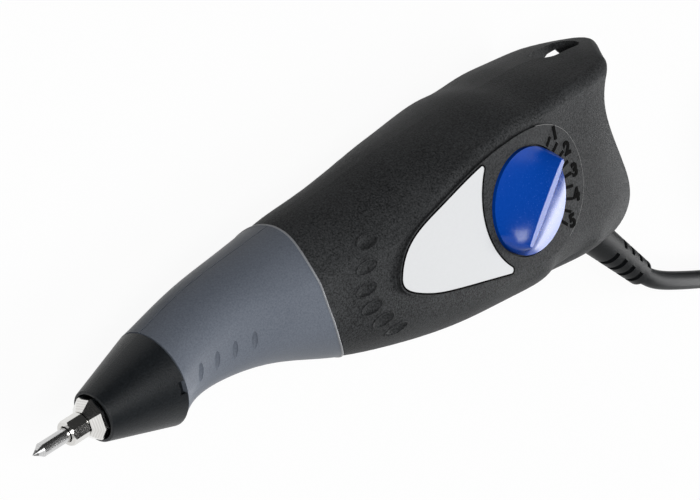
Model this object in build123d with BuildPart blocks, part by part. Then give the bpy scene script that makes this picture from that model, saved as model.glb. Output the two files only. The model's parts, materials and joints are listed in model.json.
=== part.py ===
"""Electric engraver, hand held, with a vibrating point, a stroke dial and a mains lead.

Millimetres. The origin is the engraving point. +X runs along the drive axis to the tail,
+Y to the top ridge of the tool and +Z to the dial side. Z = 0 is the parting plane of the
two housing halves, and the tool lies on the flat field of the right half.
"""
import math
import os
from build123d import *

os.makedirs("parts", exist_ok=True)

# Fits
RUN_FIT = 0.04
SLIP_FIT = 0.1
GAP = 0.3

# Overall sizes: half the housing's width, and the tail's end
HALF_WIDTH = 18.5
TAIL_X = 197.0

# Housing form. Each station: X, ridge Y, roof radius, shoulder radius, half width,
# belly Y, belly radius, bilge radius. They are drawn at one half width, and another one sets
# in from the grip's front on
DRAWN_HALF_WIDTH = 18.5
WIDENING = (34.8, 111.0)
BODY_STATIONS = [
    (70.0, 16.5, 15.6, 8.0, 14.5, -13.3, 16.0, 11.5),
    (79.0, 17.3, 17.3, 7.0, 16.0, -17.1, 17.5, 12.5),
    (89.0, 18.1, 18.5, 6.0, 17.4, -21.0, 19.0, 12.5),
    (100.0, 18.7, 19.6, 4.2, 18.3, -24.4, 20.0, 12.0),
    (111.0, 19.7, 22.0, 3.6, DRAWN_HALF_WIDTH, -27.3, 20.5, 11.5),
    (122.0, 20.3, 27.0, 3.5, DRAWN_HALF_WIDTH, -29.5, 21.0, 11.0),
    (135.0, 20.7, 33.0, 3.5, DRAWN_HALF_WIDTH, -31.2, 21.0, 11.0),
    (150.0, 20.6, 40.0, 3.5, DRAWN_HALF_WIDTH, -32.5, 21.0, 11.0),
    (TAIL_X - 34.0, 19.9, 50.0, 3.5, DRAWN_HALF_WIDTH, -33.1, 21.0, 11.0),
    (TAIL_X - 23.0, 19.2, 52.0, 3.5, 18.1, -33.5, 21.0, 14.0),
    (TAIL_X - 16.0, 18.7, 52.0, 3.5, 16.7, -33.7, 21.0, 15.0),
    (TAIL_X - 10.0, 18.1, 50.0, 3.4, 14.3, -33.8, 21.0, 13.0),
    (TAIL_X - 5.5, 17.4, 45.0, 3.2, 11.5, -33.8, 21.0, 10.4),
    (TAIL_X - 2.0, 16.8, 45.0, 2.9, 8.1, -33.8, 21.0, 7.3),
    (TAIL_X, 16.2, 45.0, 2.4, 4.7, -33.8, 21.0, 4.2),
]
CAVITY_STATIONS = BODY_STATIONS[2:9]
GRIP_STATIONS = [
    (34.8, 11.5, 11.5, 10.6, 11.3, -11.0, 11.5, 10.6),
    (41.5, 13.2, 11.2, 9.5, 10.7, -8.0, 11.2, 9.5),
    (48.0, 14.7, 11.4, 9.2, 10.8, -7.9, 11.4, 9.2),
    (57.0, 15.9, 12.8, 8.5, 11.9, -9.2, 12.6, 9.5),
    (67.0, 16.7, 14.6, 8.0, 13.9, -12.1, 14.6, 11.0),
    (78.0, 17.6, 17.0, 7.5, 16.2, -16.8, 17.0, 12.5),
    (92.0, 18.6, 18.8, 6.5, 18.0, -22.2, 19.0, 13.0),
]
BARREL_CAVITY_STATIONS = GRIP_STATIONS[3:]
CORNER_MIN = 0.6
SEAM_HALF = 0.12
SEAM_DEPTH = 0.5
WALL = 2.5
GRIP_WALL = 1.6
BARREL_WALL = 2.2
GRIP_EDGE = [
    (79.3, 24.0), (78.3, 18.5), (76.0, 13.0), (75.4, 7.0), (75.9, 1.0),
    (77.4, -7.0), (81.0, -14.0), (88.0, -22.0), (94.0, -28.0),
]
# Line under the tail's tongue and down the rear face, measured from the tail's end
TAIL_LINE = [
    (8.0, 13.4), (-9.0, 13.2), (-14.7, 11.6), (-17.4, 7.6), (-17.6, 2.5), (-16.0, -4.0),
    (-13.2, -12.0), (-12.1, -17.8), (-15.0, -24.5), (-20.0, -30.0), (-26.5, -33.6), (-35.0, -37.0),
]
TAIL_FILLET = 2.0
CUT_REACH = 60.0

# Dimples in the grip and finger dimples in the housing
GRIP_DIMPLES = [(40.0, 1.0), (45.2, 1.2), (50.4, 1.1), (55.8, 0.9)]
GRIP_DIMPLE = (4.6, 1.6, 0.7)
GRIP_DIMPLE_TILT = 75.0
FINGER_DIMPLES = [(91.2, 9.3), (88.1, 4.4), (86.6, -0.6), (86.9, -5.3), (89.6, -9.8), (93.9, -14.4)]
FINGER_DIMPLE = (6.2, 3.0, 0.8)

# Teardrop field with the label and the dial
FIELD_TIP = (95.4, -2.0)
FIELD_UPPER = [(100.0, 4.6), (112.0, 8.9), (127.0, 12.2), (142.0, 13.5), (152.0, 12.4), (159.5, 7.8)]
FIELD_TAIL = (163.3, -2.5)
FIELD_LOWER = [(161.0, -12.2), (154.5, -18.0), (143.0, -20.4), (128.0, -17.5), (112.0, -13.2), (100.0, -8.4)]
FIELD_Z = HALF_WIDTH + 0.8
FIELD_ROOT_Z = HALF_WIDTH - 4.0
LABEL_MARGIN = 0.5
LABEL_THICK = 0.6
LABEL_GAP = 3.0
LABEL_ARC_SHIFT = (5.2, 2.2)
LABEL_ROUND = 1.0

# Dial
DIAL_X = 142.6
DIAL_Y = -3.4
KNOB_R = 13.2
KNOB_RIM = 0.5
KNOB_CREST = 5.0
WELL_DEPTH = 1.1
WELL_GAP = 0.5
POINTER_ANGLE = 42.0
WASHER_R = 8.0
SPINDLE_R = 3.0
SPINDLE_SOCKET = 3.0
SPINDLE_BOSS_R = 6.5
SPINDLE_BOSS_Z = 10.0
SPINDLE_END_Z = 5.4
CLIP_R = 5.4
CLIP_THICK = 0.9
CLIP_BITE = 0.6
PIN_R = 1.3
PIN_THROW = 1.09
PIN_ANGLE = 130.0
PIN_END_Z = -1.2
WASHER_THICK = 0.25
CREST_EDGE = 0.35
# Knob sections from the rim to the crest: share of the crest's height, half length, half width,
# and the corner between a long side and an end
KNOB_SECTIONS = [
    (0.0, KNOB_R, KNOB_R, (0.94 * KNOB_R, 0.342 * KNOB_R)),
    (0.42, 0.965 * KNOB_R, 0.52 * KNOB_R, (0.9 * KNOB_R, 0.2 * KNOB_R)),
    (1.0, 0.88 * KNOB_R, 0.07 * KNOB_R, (0.85 * KNOB_R, 0.05 * KNOB_R)),
]

# Drive line, stations along X from the point
TIP_R = 1.6
TIP_CONE = 2.3
TIP_END = 21.0
CARBIDE_R = 0.75
CARBIDE_CONE = 1.1
CARBIDE_STEM = 4.0
CARBIDE_NOSE_R = 0.12
CHUCK_SIDES = 8
CHUCK_TURN = 18.0
NUT_FLATS = 5.5
NUT_FRONT = 9.4
NUT_REAR = 13.9
NUT_CHAMFER = 0.35
COLLET_R = 2.0
COLLET_FRONT = 10.7
COLLET_SLOT = 0.5
COLLET_SLOT_END = 16.5
CHUCK_FRONT_FLATS = 5.5
CHUCK_FLATS = 9.5
CHUCK_FRONT = 14.1
CHUCK_TAPER = 2.0
CHUCK_HEAD_END = 21.0
CHUCK_REAR = 26.4
CHUCK_NECK_R = 3.6
SHAFT_R = 2.5
SHAFT_FRONT = 22.4
SHAFT_REAR = 128.0
CONE_FRONT = 17.2
CONE_FRONT_R = 6.05
CONE_REAR = 34.5
CONE_REAR_R = 11.4
CONE_MOUTH_R = 5.45
CONE_EDGE = 0.4
CONE_SKIRT_R = 6.6
LATCH_WIDTH = 3.0
LATCH_DEPTH = 1.4
LATCH_SINK = 1.2
LATCH_MIDDLE = 0.5
SEAL_FRONT = 23.0
SEAL_REAR = 25.8
SEAL_R = 5.9
SPIGOT_FRONT = 31.0
SPIGOT_R = 8.9
SPIGOT_ROOT = 0.5
BUSH_R = 4.2
BUSH_REAR = 46.0
BUSH_FLANGE_R = 6.0
BUSH_FLANGE = 1.5
BUFFER_R = 5.2
BUFFER_LENGTH = 2.8
STOP_GAP = 0.2
COLLAR_R = 4.8
COLLAR_LENGTH = 3.0
CORE_FRONT = 86.0
CORE_REAR = 122.0
CORE_HALF_Y = 12.5
CORE_HALF_Z = 7.0
CORE_LIMB = 2.8
CORE_END = 4.0
BOBBIN_BORE = 5.4
BOBBIN_TUBE = 1.0
BOBBIN_FLANGE_R = CORE_HALF_Y - CORE_LIMB - 2 * SLIP_FIT
BOBBIN_FLANGE = 1.5
WINDING_R = BOBBIN_FLANGE_R - 0.4
ARMATURE_R = 5.0
ARMATURE_FRONT = 87.0
ARMATURE_REAR = 110.0
POLE_FRONT = 112.2
REAR_BUSH_R = 4.5
REAR_BUSH_REAR = 124.0
CUP_R = 4.8
CUP_LENGTH = 2.2
CUP_LIP = 1.2
SPRING_R = 3.6
SPRING_WIRE_R = 0.45
SPRING_TURNS = 4.5
SLIDE_SEAT_X = 137.0
SLIDE_SEAT_R = 5.0
SLIDE_SEAT = 2.5
SLIDE_REAR = 156.0
SLIDE_TOP = 4.0
SLIDE_BOTTOM = -9.0
SLIDE_HALF_Z = 1.5
SLIDE_SLOT = 6.5
GUIDE_THICK = 2.0
GUIDE_FRONT = 150.5

# Fastenings
SCREW_SPOTS = [(89.5, -15.2), (118.0, -20.5), (127.5, 13.6), (166.5, 10.0), (156.0, -26.5)]
SCREW_R = 1.5
SCREW_HEAD_R = 2.6
SCREW_HEAD = 2.2
SCREW_SEAT_Z = -9.0
SCREW_TIP_Z = 9.0
BOSS_R = 3.6
RIB_STATIONS = (92.0, 114.0)
RIB_THICK = 3.0

# Hanging slot in the tail
SLOT_X = TAIL_X - 14.0
SLOT_LENGTH = 15.5
SLOT_WIDTH = 8.0
SLOT_FLOOR = 6.0
SLOT_TOP = 25.0
SLOT_LIP_Y = 16.0
SLOT_ROOM = (SLOT_X - 2.5, SLOT_X + 8.5)
SLOT_ROOM_HALF = 8.5

# Rear switch
SLIDER_Y = -15.5
SLIDER_TRAVEL = 3.0
SLIDER_HALF_Z = 8.0
SLIDER_HEIGHT = 9.0
SLIDER_FACE_X = TAIL_X - 10.2
SLIDER_FLOOR_X = TAIL_X - 14.6
SLIDER_RIDGES = 4
RIDGE_DEPTH = 0.6
SLIDER_ROUND = 1.5
STEM_KEEP = 0.4
KEEP_SIDE = 2.0
KEEP_THICK = 1.4
STEM_Y = -12.5
STEM_HALF_Z = 2.5
STEM_HEIGHT = 2.4
STEM_FRONT_X = TAIL_X - 22.5
SWITCH_FRONT_X = TAIL_X - 32.0
SWITCH_REAR_X = TAIL_X - 23.0
SWITCH_HALF_Z = 6.0
SWITCH_LOW = -18.0
SWITCH_HIGH = -6.0
POCKET_REAR_X = TAIL_X - 17.5

# Lead and strain relief. The relief's axis lies in the parting plane
CORD_R = 2.6
EXIT = (TAIL_X - 15.0, -32.2)
EXIT_ANGLE = -49.0
RELIEF_LENGTH = 27.0
RELIEF_BASE_R = 5.2
RELIEF_END_R = 3.7
RELIEF_NECK_R = 4.0
RELIEF_NECK_END = -4.6
RELIEF_FLANGE_R = 5.4
RELIEF_FLANGE = 1.8
RELIEF_INNER = -9.5
RELIEF_SLOTS = 4
RELIEF_PITCH = 4.3
RELIEF_SLOT = 1.6
RELIEF_FIRST = 9.8
RELIEF_SLOT_FLOOR = 3.0
RELIEF_SPINE = 1.2
CORD_INNER = -15.8
CORD_STRAIGHT = 24.0
CLAMP_NEAR = -15.0
CLAMP_LENGTH = 4.6
CLAMP_HALF = 5.2
CLAMP_FACE_Z = 0.3
CLAMP_TOP_Z = 4.4
CLAMP_SCREW_AT = 3.9
CLAMP_SCREW_R = 1.0
CLAMP_SCREW_HEAD_R = 1.3
CLAMP_SCREW_HEAD = 1.2
CLAMP_SCREW_END_Z = -6.0
CORD_BEND_START = 29.5
BEND_SHARE = 0.45
CORD_ROUTE = [
    (24.5, -26.2, -0.3), (34.4, -31.2, -1.3), (52.0, -39.4, -4.0),
    (74.0, -47.3, -9.0), (93.3, -52.5, -13.8), (111.0, -55.9, -16.4),
]
COIL_CENTRE = (EXIT[0] + 116.0, EXIT[1] - 26.3)
COIL_R = 30.0
COIL_BUNDLE_R = 9.5
COIL_SIDES = 12
TIE_THICK = 0.8
TIE_WIDTH = 6.0
TIE_ANGLE = 150.0
PLUG_ANGLE = 0.0
PLUG_LEAD = 32.0
PLUG_LENGTH = 36.0
PLUG_WIDTH = 31.0
PLUG_THICK = 13.0
PLUG_NOSE_WIDTH = 13.0
PLUG_ROUND = 3.0
PLUG_EDGE = 1.5
PLUG_SHOULDER = 15.0
PLUG_PIN_R = 2.0
PLUG_PIN_LENGTH = 19.0
PLUG_PIN_SPACING = 18.6
PLUG_PIN_ROOT = 5.0

TAIL_CUT = [(TAIL_X + back, y) for back, y in TAIL_LINE]
FLOOR_Z = -FIELD_Z
KNOB_BASE_Z = FIELD_Z - WELL_DEPTH + GAP
KNOB_RIM_Z = FIELD_Z + KNOB_RIM
WELL_Z = FIELD_Z - WELL_DEPTH
SPINDLE_TOP_Z = KNOB_BASE_Z + SPINDLE_SOCKET
PIN_X = DIAL_X + PIN_THROW * math.cos(math.radians(PIN_ANGLE))
PIN_Y = DIAL_Y + PIN_THROW * math.sin(math.radians(PIN_ANGLE))
POINTER_TURN = math.radians(POINTER_ANGLE)
POINTER_WAY = (math.cos(POINTER_TURN), math.sin(POINTER_TURN), 0)
KNOB_FLAT = Plane(origin=(DIAL_X, DIAL_Y, KNOB_RIM_Z), x_dir=POINTER_WAY, z_dir=(0, 0, 1))
NUT_CORNER_R = NUT_FLATS / 2 / math.cos(math.pi / CHUCK_SIDES)
LATCH_X = (CONE_REAR - LATCH_DEPTH, CONE_REAR + LATCH_DEPTH)
LATCH_Y = (LATCH_MIDDLE - LATCH_WIDTH / 2, LATCH_MIDDLE + LATCH_WIDTH / 2)
SPRING_START = SHAFT_REAR + SPRING_WIRE_R + SLIP_FIT
SPRING_HEIGHT = SLIDE_SEAT_X - SPRING_WIRE_R - SLIP_FIT - SPRING_START
CLAMP_SPAN = (CLAMP_NEAR, CLAMP_NEAR + CLAMP_LENGTH)
CLAMP_ROOM_Z = CLAMP_TOP_Z + WALL
BULKHEAD_X = BARREL_CAVITY_STATIONS[0][0]
BUFFER_REAR = BULKHEAD_X + BUFFER_LENGTH
COIL_FRONT = CORE_FRONT + CORE_END
COIL_REAR = CORE_REAR - CORE_END
CUP_FRONT = SHAFT_REAR - CUP_LENGTH
COIL_Z = FLOOR_Z + COIL_BUNDLE_R + TIE_THICK
EXIT_TURN = math.radians(EXIT_ANGLE)
EXIT_WAY = (math.cos(EXIT_TURN), math.sin(EXIT_TURN), 0)
EXIT_FLAT = Plane(origin=(EXIT[0], EXIT[1], 0), x_dir=EXIT_WAY, z_dir=(0, 0, 1))
CLAMP_MIDDLE = CLAMP_NEAR + CLAMP_LENGTH / 2
CLAMP_SCREW_SPOTS = [
    (EXIT[0] + CLAMP_MIDDLE * EXIT_WAY[0] - side * EXIT_WAY[1],
     EXIT[1] + CLAMP_MIDDLE * EXIT_WAY[1] + side * EXIT_WAY[0])
    for side in (CLAMP_SCREW_AT, -CLAMP_SCREW_AT)
]
COIL_AXIS = Axis((COIL_CENTRE[0], COIL_CENTRE[1], 0), (0, 0, 1))
PLUG_TURN = math.radians(PLUG_ANGLE)
PLUG_WAY = (-math.sin(PLUG_TURN), math.cos(PLUG_TURN), 0)
COIL_END = (COIL_CENTRE[0] + COIL_R * math.cos(PLUG_TURN), COIL_CENTRE[1] + COIL_R * math.sin(PLUG_TURN))
PLUG_ORIGIN = (COIL_END[0] + PLUG_LEAD * PLUG_WAY[0], COIL_END[1] + PLUG_LEAD * PLUG_WAY[1], FLOOR_Z)
PLUG_FLAT = Plane(origin=PLUG_ORIGIN, x_dir=PLUG_WAY, z_dir=(0, 0, 1))


def finish(builder, name):
    """Label a finished sub-part and write it."""
    builder.part.label = name
    export_step(builder.part, f"parts/{name}.step")


def on_axis(x):
    """Plane square to the drive axis at a station, with its own X along the tool's Y."""
    return Plane(origin=(x, 0, 0), x_dir=(0, 1, 0), z_dir=(1, 0, 0))


def exit_point(along):
    """Point on the strain relief's axis, a distance along it from the exit point."""
    return (EXIT[0] + along * EXIT_WAY[0], EXIT[1] + along * EXIT_WAY[1], 0)


def exit_square(along):
    """Plane square to the strain relief's axis."""
    return Plane(origin=exit_point(along), x_dir=(0, 0, 1), z_dir=EXIT_WAY)


def coil_section(angle):
    """Plane through the coil's axis, with its own X pointing out from it."""
    turn = math.radians(angle)
    origin = (COIL_CENTRE[0], COIL_CENTRE[1], COIL_Z)
    outward = (math.cos(turn), math.sin(turn), 0)
    return Plane(origin=origin, x_dir=outward, z_dir=(outward[1], -outward[0], 0))


def plug_square(along):
    """Plane square to the plug, with its own X across it and its own Y up."""
    origin = tuple(start + along * way for start, way in zip(PLUG_ORIGIN, PLUG_WAY))
    return Plane(origin=origin, x_dir=(-PLUG_WAY[1], PLUG_WAY[0], 0), z_dir=PLUG_WAY)


def corner_rise(main_r, corner_r, half):
    """Distance from the ridge or belly to the centre of the corner arc beside it."""
    return main_r - math.sqrt((main_r - corner_r) ** 2 - (half - corner_r) ** 2)


def half_form(stations, inset):
    """Dial-side half of the housing's form, inset evenly from its skin."""
    with BuildPart(mode=Mode.PRIVATE) as form:
        for x, ridge, roof_r, shoulder_r, half_w, belly, belly_r, bilge_r in stations:
            share = min((x - WIDENING[0]) / (WIDENING[1] - WIDENING[0]), 1)
            grow = 1 + share * (HALF_WIDTH / DRAWN_HALF_WIDTH - 1)
            top = ridge - inset
            low = belly + inset
            half = half_w * grow - inset
            roof = roof_r * grow**2 - inset
            keel = belly_r * grow**2 - inset
            shoulder = max(shoulder_r - inset, CORNER_MIN)
            bilge = max(bilge_r - inset, CORNER_MIN)
            side_top = top - corner_rise(roof, shoulder, half)
            side_low = low + corner_rise(keel, bilge, half)
            roof_ratio = roof / (roof - shoulder)
            keel_ratio = keel / (keel - bilge)
            roof_end = (top - roof + (side_top - top + roof) * roof_ratio, (half - shoulder) * roof_ratio)
            keel_end = (low + keel + (side_low - low - keel) * keel_ratio, (half - bilge) * keel_ratio)
            with BuildSketch(on_axis(x)):
                with BuildLine():
                    roof_arc = TangentArc((top, 0), roof_end, tangent=(0, 1))
                    TangentArc(roof_end, (side_top, half), tangent=roof_arc % 1)
                    Line((side_top, half), (side_low, half))
                    bilge_arc = TangentArc((side_low, half), keel_end, tangent=(-1, 0))
                    TangentArc(keel_end, (low, 0), tangent=bilge_arc % 1)
                    Line((low, 0), (top, 0))
                make_face()
        loft()
    return form.part


def seam(stations):
    """Shallow groove round one half where it meets the other."""
    slab = block((stations[0][0], stations[-1][0]), (-CUT_REACH, CUT_REACH), (0, SEAM_HALF))
    return slab - half_form(stations, SEAM_DEPTH)


def side_block(points, corners):
    """Prism through the tool's width, bounded by a spline and then by straight corners."""
    with BuildPart(mode=Mode.PRIVATE) as block:
        with BuildSketch(Plane.XY):
            with BuildLine():
                Spline(points)
                Polyline(points[-1], *corners, points[0])
            make_face()
        extrude(amount=CUT_REACH, both=True)
    return block.part


def nose_block(shift):
    """All that lies in front of the grip's rear edge, moved along X."""
    edge = [(x + shift, y) for x, y in GRIP_EDGE]
    top = edge[0]
    low = edge[-1]
    return side_block(edge, [(low[0], -CUT_REACH), (0, -CUT_REACH), (0, CUT_REACH), (top[0], CUT_REACH)])


def tail_block():
    """All that lies under the tail's tongue and behind the rear face."""
    low = TAIL_CUT[-1]
    back = TAIL_CUT[0][0] + CUT_REACH
    return side_block(TAIL_CUT, [(low[0], -CUT_REACH), (back, -CUT_REACH), (back, TAIL_CUT[0][1])])


def teardrop(margin):
    """Outline of the raised field, its points moved in by a margin."""
    outer = [FIELD_TIP] + FIELD_UPPER + [FIELD_TAIL] + FIELD_LOWER
    points = []
    for before, (x, y), after in zip(outer[-1:] + outer[:-1], outer, outer[1:] + outer[:1]):
        step_x = after[0] - before[0]
        step_y = after[1] - before[1]
        share = margin / math.hypot(step_x, step_y)
        points.append((x + step_y * share, y - step_x * share))
    with BuildSketch(mode=Mode.PRIVATE) as outline:
        with BuildLine():
            Spline(points, periodic=True)
        make_face()
    return outline.sketch


def ring(x_from, x_to, outer, inner=0.0):
    """Ring or rod on the drive axis."""
    with BuildPart(mode=Mode.PRIVATE) as part:
        with BuildSketch(on_axis(x_from)):
            Circle(outer)
            if inner:
                Circle(inner, mode=Mode.SUBTRACT)
        extrude(amount=x_to - x_from)
    return part.part


def block(x_span, y_span, z_span):
    """Plain block between two limits on each axis."""
    size = [high - low for low, high in (x_span, y_span, z_span)]
    middle = [(high + low) / 2 for low, high in (x_span, y_span, z_span)]
    return Pos(*middle) * Box(*size, mode=Mode.PRIVATE)


def upright(x, y, z_from, z_to, radius):
    """Cylinder along Z."""
    return Pos(x, y, (z_from + z_to) / 2) * Cylinder(radius, z_to - z_from, mode=Mode.PRIVATE)


def exit_block(along, across, z_span):
    """Block set square to the strain relief's axis."""
    with BuildPart(mode=Mode.PRIVATE) as part:
        with BuildSketch(EXIT_FLAT.offset(z_span[0])):
            with Locations(((along[0] + along[1]) / 2, 0)):
                Rectangle(along[1] - along[0], 2 * across)
        extrude(amount=z_span[1] - z_span[0])
    return part.part


def exit_rod(t_from, t_to, radius):
    """Cylinder on the strain relief's axis."""
    with BuildPart(mode=Mode.PRIVATE) as part:
        with BuildSketch(exit_square(t_from)):
            Circle(radius)
        extrude(amount=t_to - t_from)
    return part.part


def bowls(form, spots, size, tilt):
    """Shallow hollows, longer than wide, sunk square to a form's skin on its dial side."""
    length, width, depth = size
    long_r = length / 2
    round_r = (width * width / 4 + depth * depth) / (2 * depth)
    with BuildPart(mode=Mode.PRIVATE) as part:
        for x, y in spots:
            skin, way = form.find_intersection_points(Axis((x, y, 0), (0, 0, 1)))[-1]
            along = Vector(math.cos(math.radians(tilt)), math.sin(math.radians(tilt)), 0)
            across = way.cross(along).normalized()
            section = Plane(origin=skin + way * (round_r - depth), x_dir=across.cross(way), z_dir=across)
            with BuildSketch(section):
                Ellipse(long_r * round_r / (width / 2), round_r)
                with Locations((0, -round_r)):
                    Rectangle(CUT_REACH, 2 * round_r, mode=Mode.SUBTRACT)
            revolve(axis=Axis(section.origin, section.x_dir))
    return part.part


def turned(points, plane=Plane.XY):
    """Solid turned about a plane's own X axis, from corners given along and out from it."""
    with BuildPart(mode=Mode.PRIVATE) as part:
        with BuildSketch(plane):
            with BuildLine():
                Polyline(*points, close=True)
            make_face()
        revolve(axis=Axis(plane.origin, plane.x_dir))
    return part.part


def sided_bar(x_from, x_to, flats, end_flats):
    """Many-sided bar on the drive axis, straight or tapered."""
    with BuildPart(mode=Mode.PRIVATE) as part:
        for x, across in ((x_from, flats), (x_to, end_flats)):
            with BuildSketch(on_axis(x)):
                RegularPolygon(across / 2, CHUCK_SIDES, major_radius=False, rotation=CHUCK_TURN)
        loft(ruled=True)
    return part.part


def label_outline(margin):
    """Outline of the label in the front of the field, inset by a margin."""
    with BuildSketch(mode=Mode.PRIVATE) as outline:
        add(teardrop(LABEL_MARGIN + margin))
        with Locations((DIAL_X + LABEL_ARC_SHIFT[0], DIAL_Y + LABEL_ARC_SHIFT[1])):
            Circle(KNOB_R + LABEL_GAP + LABEL_ARC_SHIFT[0] + margin, mode=Mode.SUBTRACT)
        fillet(outline.vertices().sort_by(Axis.Y)[-1], LABEL_ROUND)
        fillet(outline.vertices().sort_by(Axis.Y)[0], LABEL_ROUND)
    return outline.sketch


CORE_ROOM = block(
    (CORE_FRONT - SLIP_FIT, CORE_REAR + SLIP_FIT),
    (-CORE_HALF_Y, CORE_HALF_Y),
    (-CORE_HALF_Z - SLIP_FIT, CORE_HALF_Z + SLIP_FIT),
)
BOBBIN_ROOM = ring(CORE_FRONT, CORE_REAR, BOBBIN_FLANGE_R + GAP)


def inner_frame():
    """Ribs, guides and screw bosses of one half, trimmed to lie inside the skin."""
    guide = (GUIDE_FRONT, SLIDE_REAR + GUIDE_THICK)
    upper = (SLIDE_TOP + SLIP_FIT, SLIDE_TOP + SLIP_FIT + GUIDE_THICK)
    lower = (SLIDE_BOTTOM - SLIP_FIT - GUIDE_THICK, SLIDE_BOTTOM - SLIP_FIT)
    with BuildPart(mode=Mode.PRIVATE) as frame:
        for x in RIB_STATIONS:
            add(block((x, x + RIB_THICK), (-CUT_REACH, CUT_REACH), (0, CUT_REACH)))
        add(CORE_ROOM, mode=Mode.SUBTRACT)
        add(BOBBIN_ROOM, mode=Mode.SUBTRACT)
        add(block(guide, upper, (0, CUT_REACH)))
        add(block(guide, lower, (0, CUT_REACH)))
        add(block(guide, (lower[1], upper[0]), (SLIDE_HALF_Z + SLIP_FIT, CUT_REACH)))
        for x, y in SCREW_SPOTS:
            add(upright(x, y, 0, CUT_REACH, BOSS_R))
        add(half_form(BODY_STATIONS, WALL / 2), mode=Mode.INTERSECT)
    return frame.part


def housing_half():
    """One half shell on the dial side, with what both halves share."""
    skin = half_form(BODY_STATIONS, 0)
    switch_front = CAVITY_STATIONS[-1][0] - WALL
    switch_room = block((switch_front, POCKET_REAR_X), (SWITCH_LOW, SWITCH_HIGH), (0, SWITCH_HALF_Z + WALL))
    recess_low = SLIDER_Y - SLIDER_HEIGHT / 2 - SLIDER_TRAVEL - GAP
    recess_high = SLIDER_Y + SLIDER_HEIGHT / 2 + GAP
    recess_rear = SLIDER_FLOOR_X + CUT_REACH
    recess = block((SLIDER_FLOOR_X, recess_rear), (recess_low, recess_high), (0, SLIDER_HALF_Z + GAP))
    stem_low = STEM_Y - STEM_HEIGHT / 2 - SLIDER_TRAVEL - GAP
    stem_high = STEM_Y + STEM_HEIGHT / 2 + GAP
    stem_way = block((SWITCH_REAR_X, SLIDER_FLOOR_X + WALL), (stem_low, stem_high), (0, STEM_HALF_Z + GAP))
    clamp_way = (CORD_INNER - WALL, CLAMP_SPAN[1] + SLIP_FIT)
    clamp_room = exit_block(clamp_way, CLAMP_HALF + GAP, (0, CLAMP_ROOM_Z))
    with BuildPart(mode=Mode.PRIVATE) as half:
        add(skin)
        add(tail_block(), mode=Mode.SUBTRACT)
        rear = half.faces().sort_by_distance((TAIL_CUT[5][0], TAIL_CUT[5][1], TAIL_FILLET))[0]
        fillet(rear.edges().filter_by(lambda edge: edge.center().Z > BODY_STATIONS[-1][4]), TAIL_FILLET)
        add(nose_block(0), mode=Mode.SUBTRACT)
        add(bowls(skin, FINGER_DIMPLES, FINGER_DIMPLE, 0), mode=Mode.SUBTRACT)
        add(seam(BODY_STATIONS[:-1]), mode=Mode.SUBTRACT)
        add(half_form(GRIP_STATIONS, GRIP_WALL + SLIP_FIT))
        add(half_form(CAVITY_STATIONS, WALL), mode=Mode.SUBTRACT)
        add(half_form(BARREL_CAVITY_STATIONS, GRIP_WALL + BARREL_WALL), mode=Mode.SUBTRACT)
        add(switch_room, mode=Mode.SUBTRACT)
        add(inner_frame())
        add(CORE_ROOM, mode=Mode.SUBTRACT)
        add(ring(SPIGOT_FRONT, GRIP_STATIONS[0][0] + SPIGOT_ROOT, SPIGOT_R))
        add(block((0, CUT_REACH), (-CUT_REACH, CUT_REACH), (-CUT_REACH, 0)), mode=Mode.SUBTRACT)
        add(ring(0, BUSH_REAR, BUSH_R), mode=Mode.SUBTRACT)
        add(ring(0, BULKHEAD_X + SLIP_FIT, SHAFT_R + GAP), mode=Mode.SUBTRACT)
        with BuildSketch(Plane.XZ.offset(-SLOT_TOP)):
            with Locations((SLOT_X, 0)):
                SlotOverall(SLOT_LENGTH, SLOT_WIDTH)
        extrude(amount=SLOT_TOP - SLOT_FLOOR, mode=Mode.SUBTRACT)
        add(block(SLOT_ROOM, (SLOT_FLOOR, SLOT_LIP_Y), (0, SLOT_ROOM_HALF)), mode=Mode.SUBTRACT)
        add(recess, mode=Mode.SUBTRACT)
        add(stem_way, mode=Mode.SUBTRACT)
        add(exit_rod(RELIEF_INNER, RELIEF_LENGTH, RELIEF_NECK_R), mode=Mode.SUBTRACT)
        add(exit_rod(RELIEF_INNER, RELIEF_INNER + RELIEF_FLANGE, RELIEF_FLANGE_R), mode=Mode.SUBTRACT)
        add(clamp_room, mode=Mode.SUBTRACT)
        add(exit_rod(CLAMP_SPAN[1], RELIEF_INNER, CORD_R + GAP), mode=Mode.SUBTRACT)
    return half.part


# Housing halves
dial_side = housing_half()
rest_side = mirror(dial_side, about=Plane.XY)
with BuildPart() as left_housing:
    add(dial_side)
    with BuildSketch(Plane.XY.offset(FIELD_ROOT_Z)):
        add(teardrop(0))
    extrude(amount=FIELD_Z - FIELD_ROOT_Z)
    with BuildSketch(Plane.XY.offset(FIELD_Z - LABEL_THICK)):
        add(label_outline(0))
    extrude(amount=WALL, mode=Mode.SUBTRACT)
    add(upright(DIAL_X, DIAL_Y, WELL_Z, FIELD_Z + WALL, KNOB_R + WELL_GAP), mode=Mode.SUBTRACT)
    add(upright(DIAL_X, DIAL_Y, SPINDLE_BOSS_Z, WELL_Z, SPINDLE_BOSS_R))
    add(upright(DIAL_X, DIAL_Y, 0, FIELD_Z, SPINDLE_R + RUN_FIT), mode=Mode.SUBTRACT)
    for spot_x, spot_y in SCREW_SPOTS:
        add(upright(spot_x, spot_y, 0, SCREW_TIP_Z + GAP, SCREW_R), mode=Mode.SUBTRACT)
finish(left_housing, "left_housing")

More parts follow.
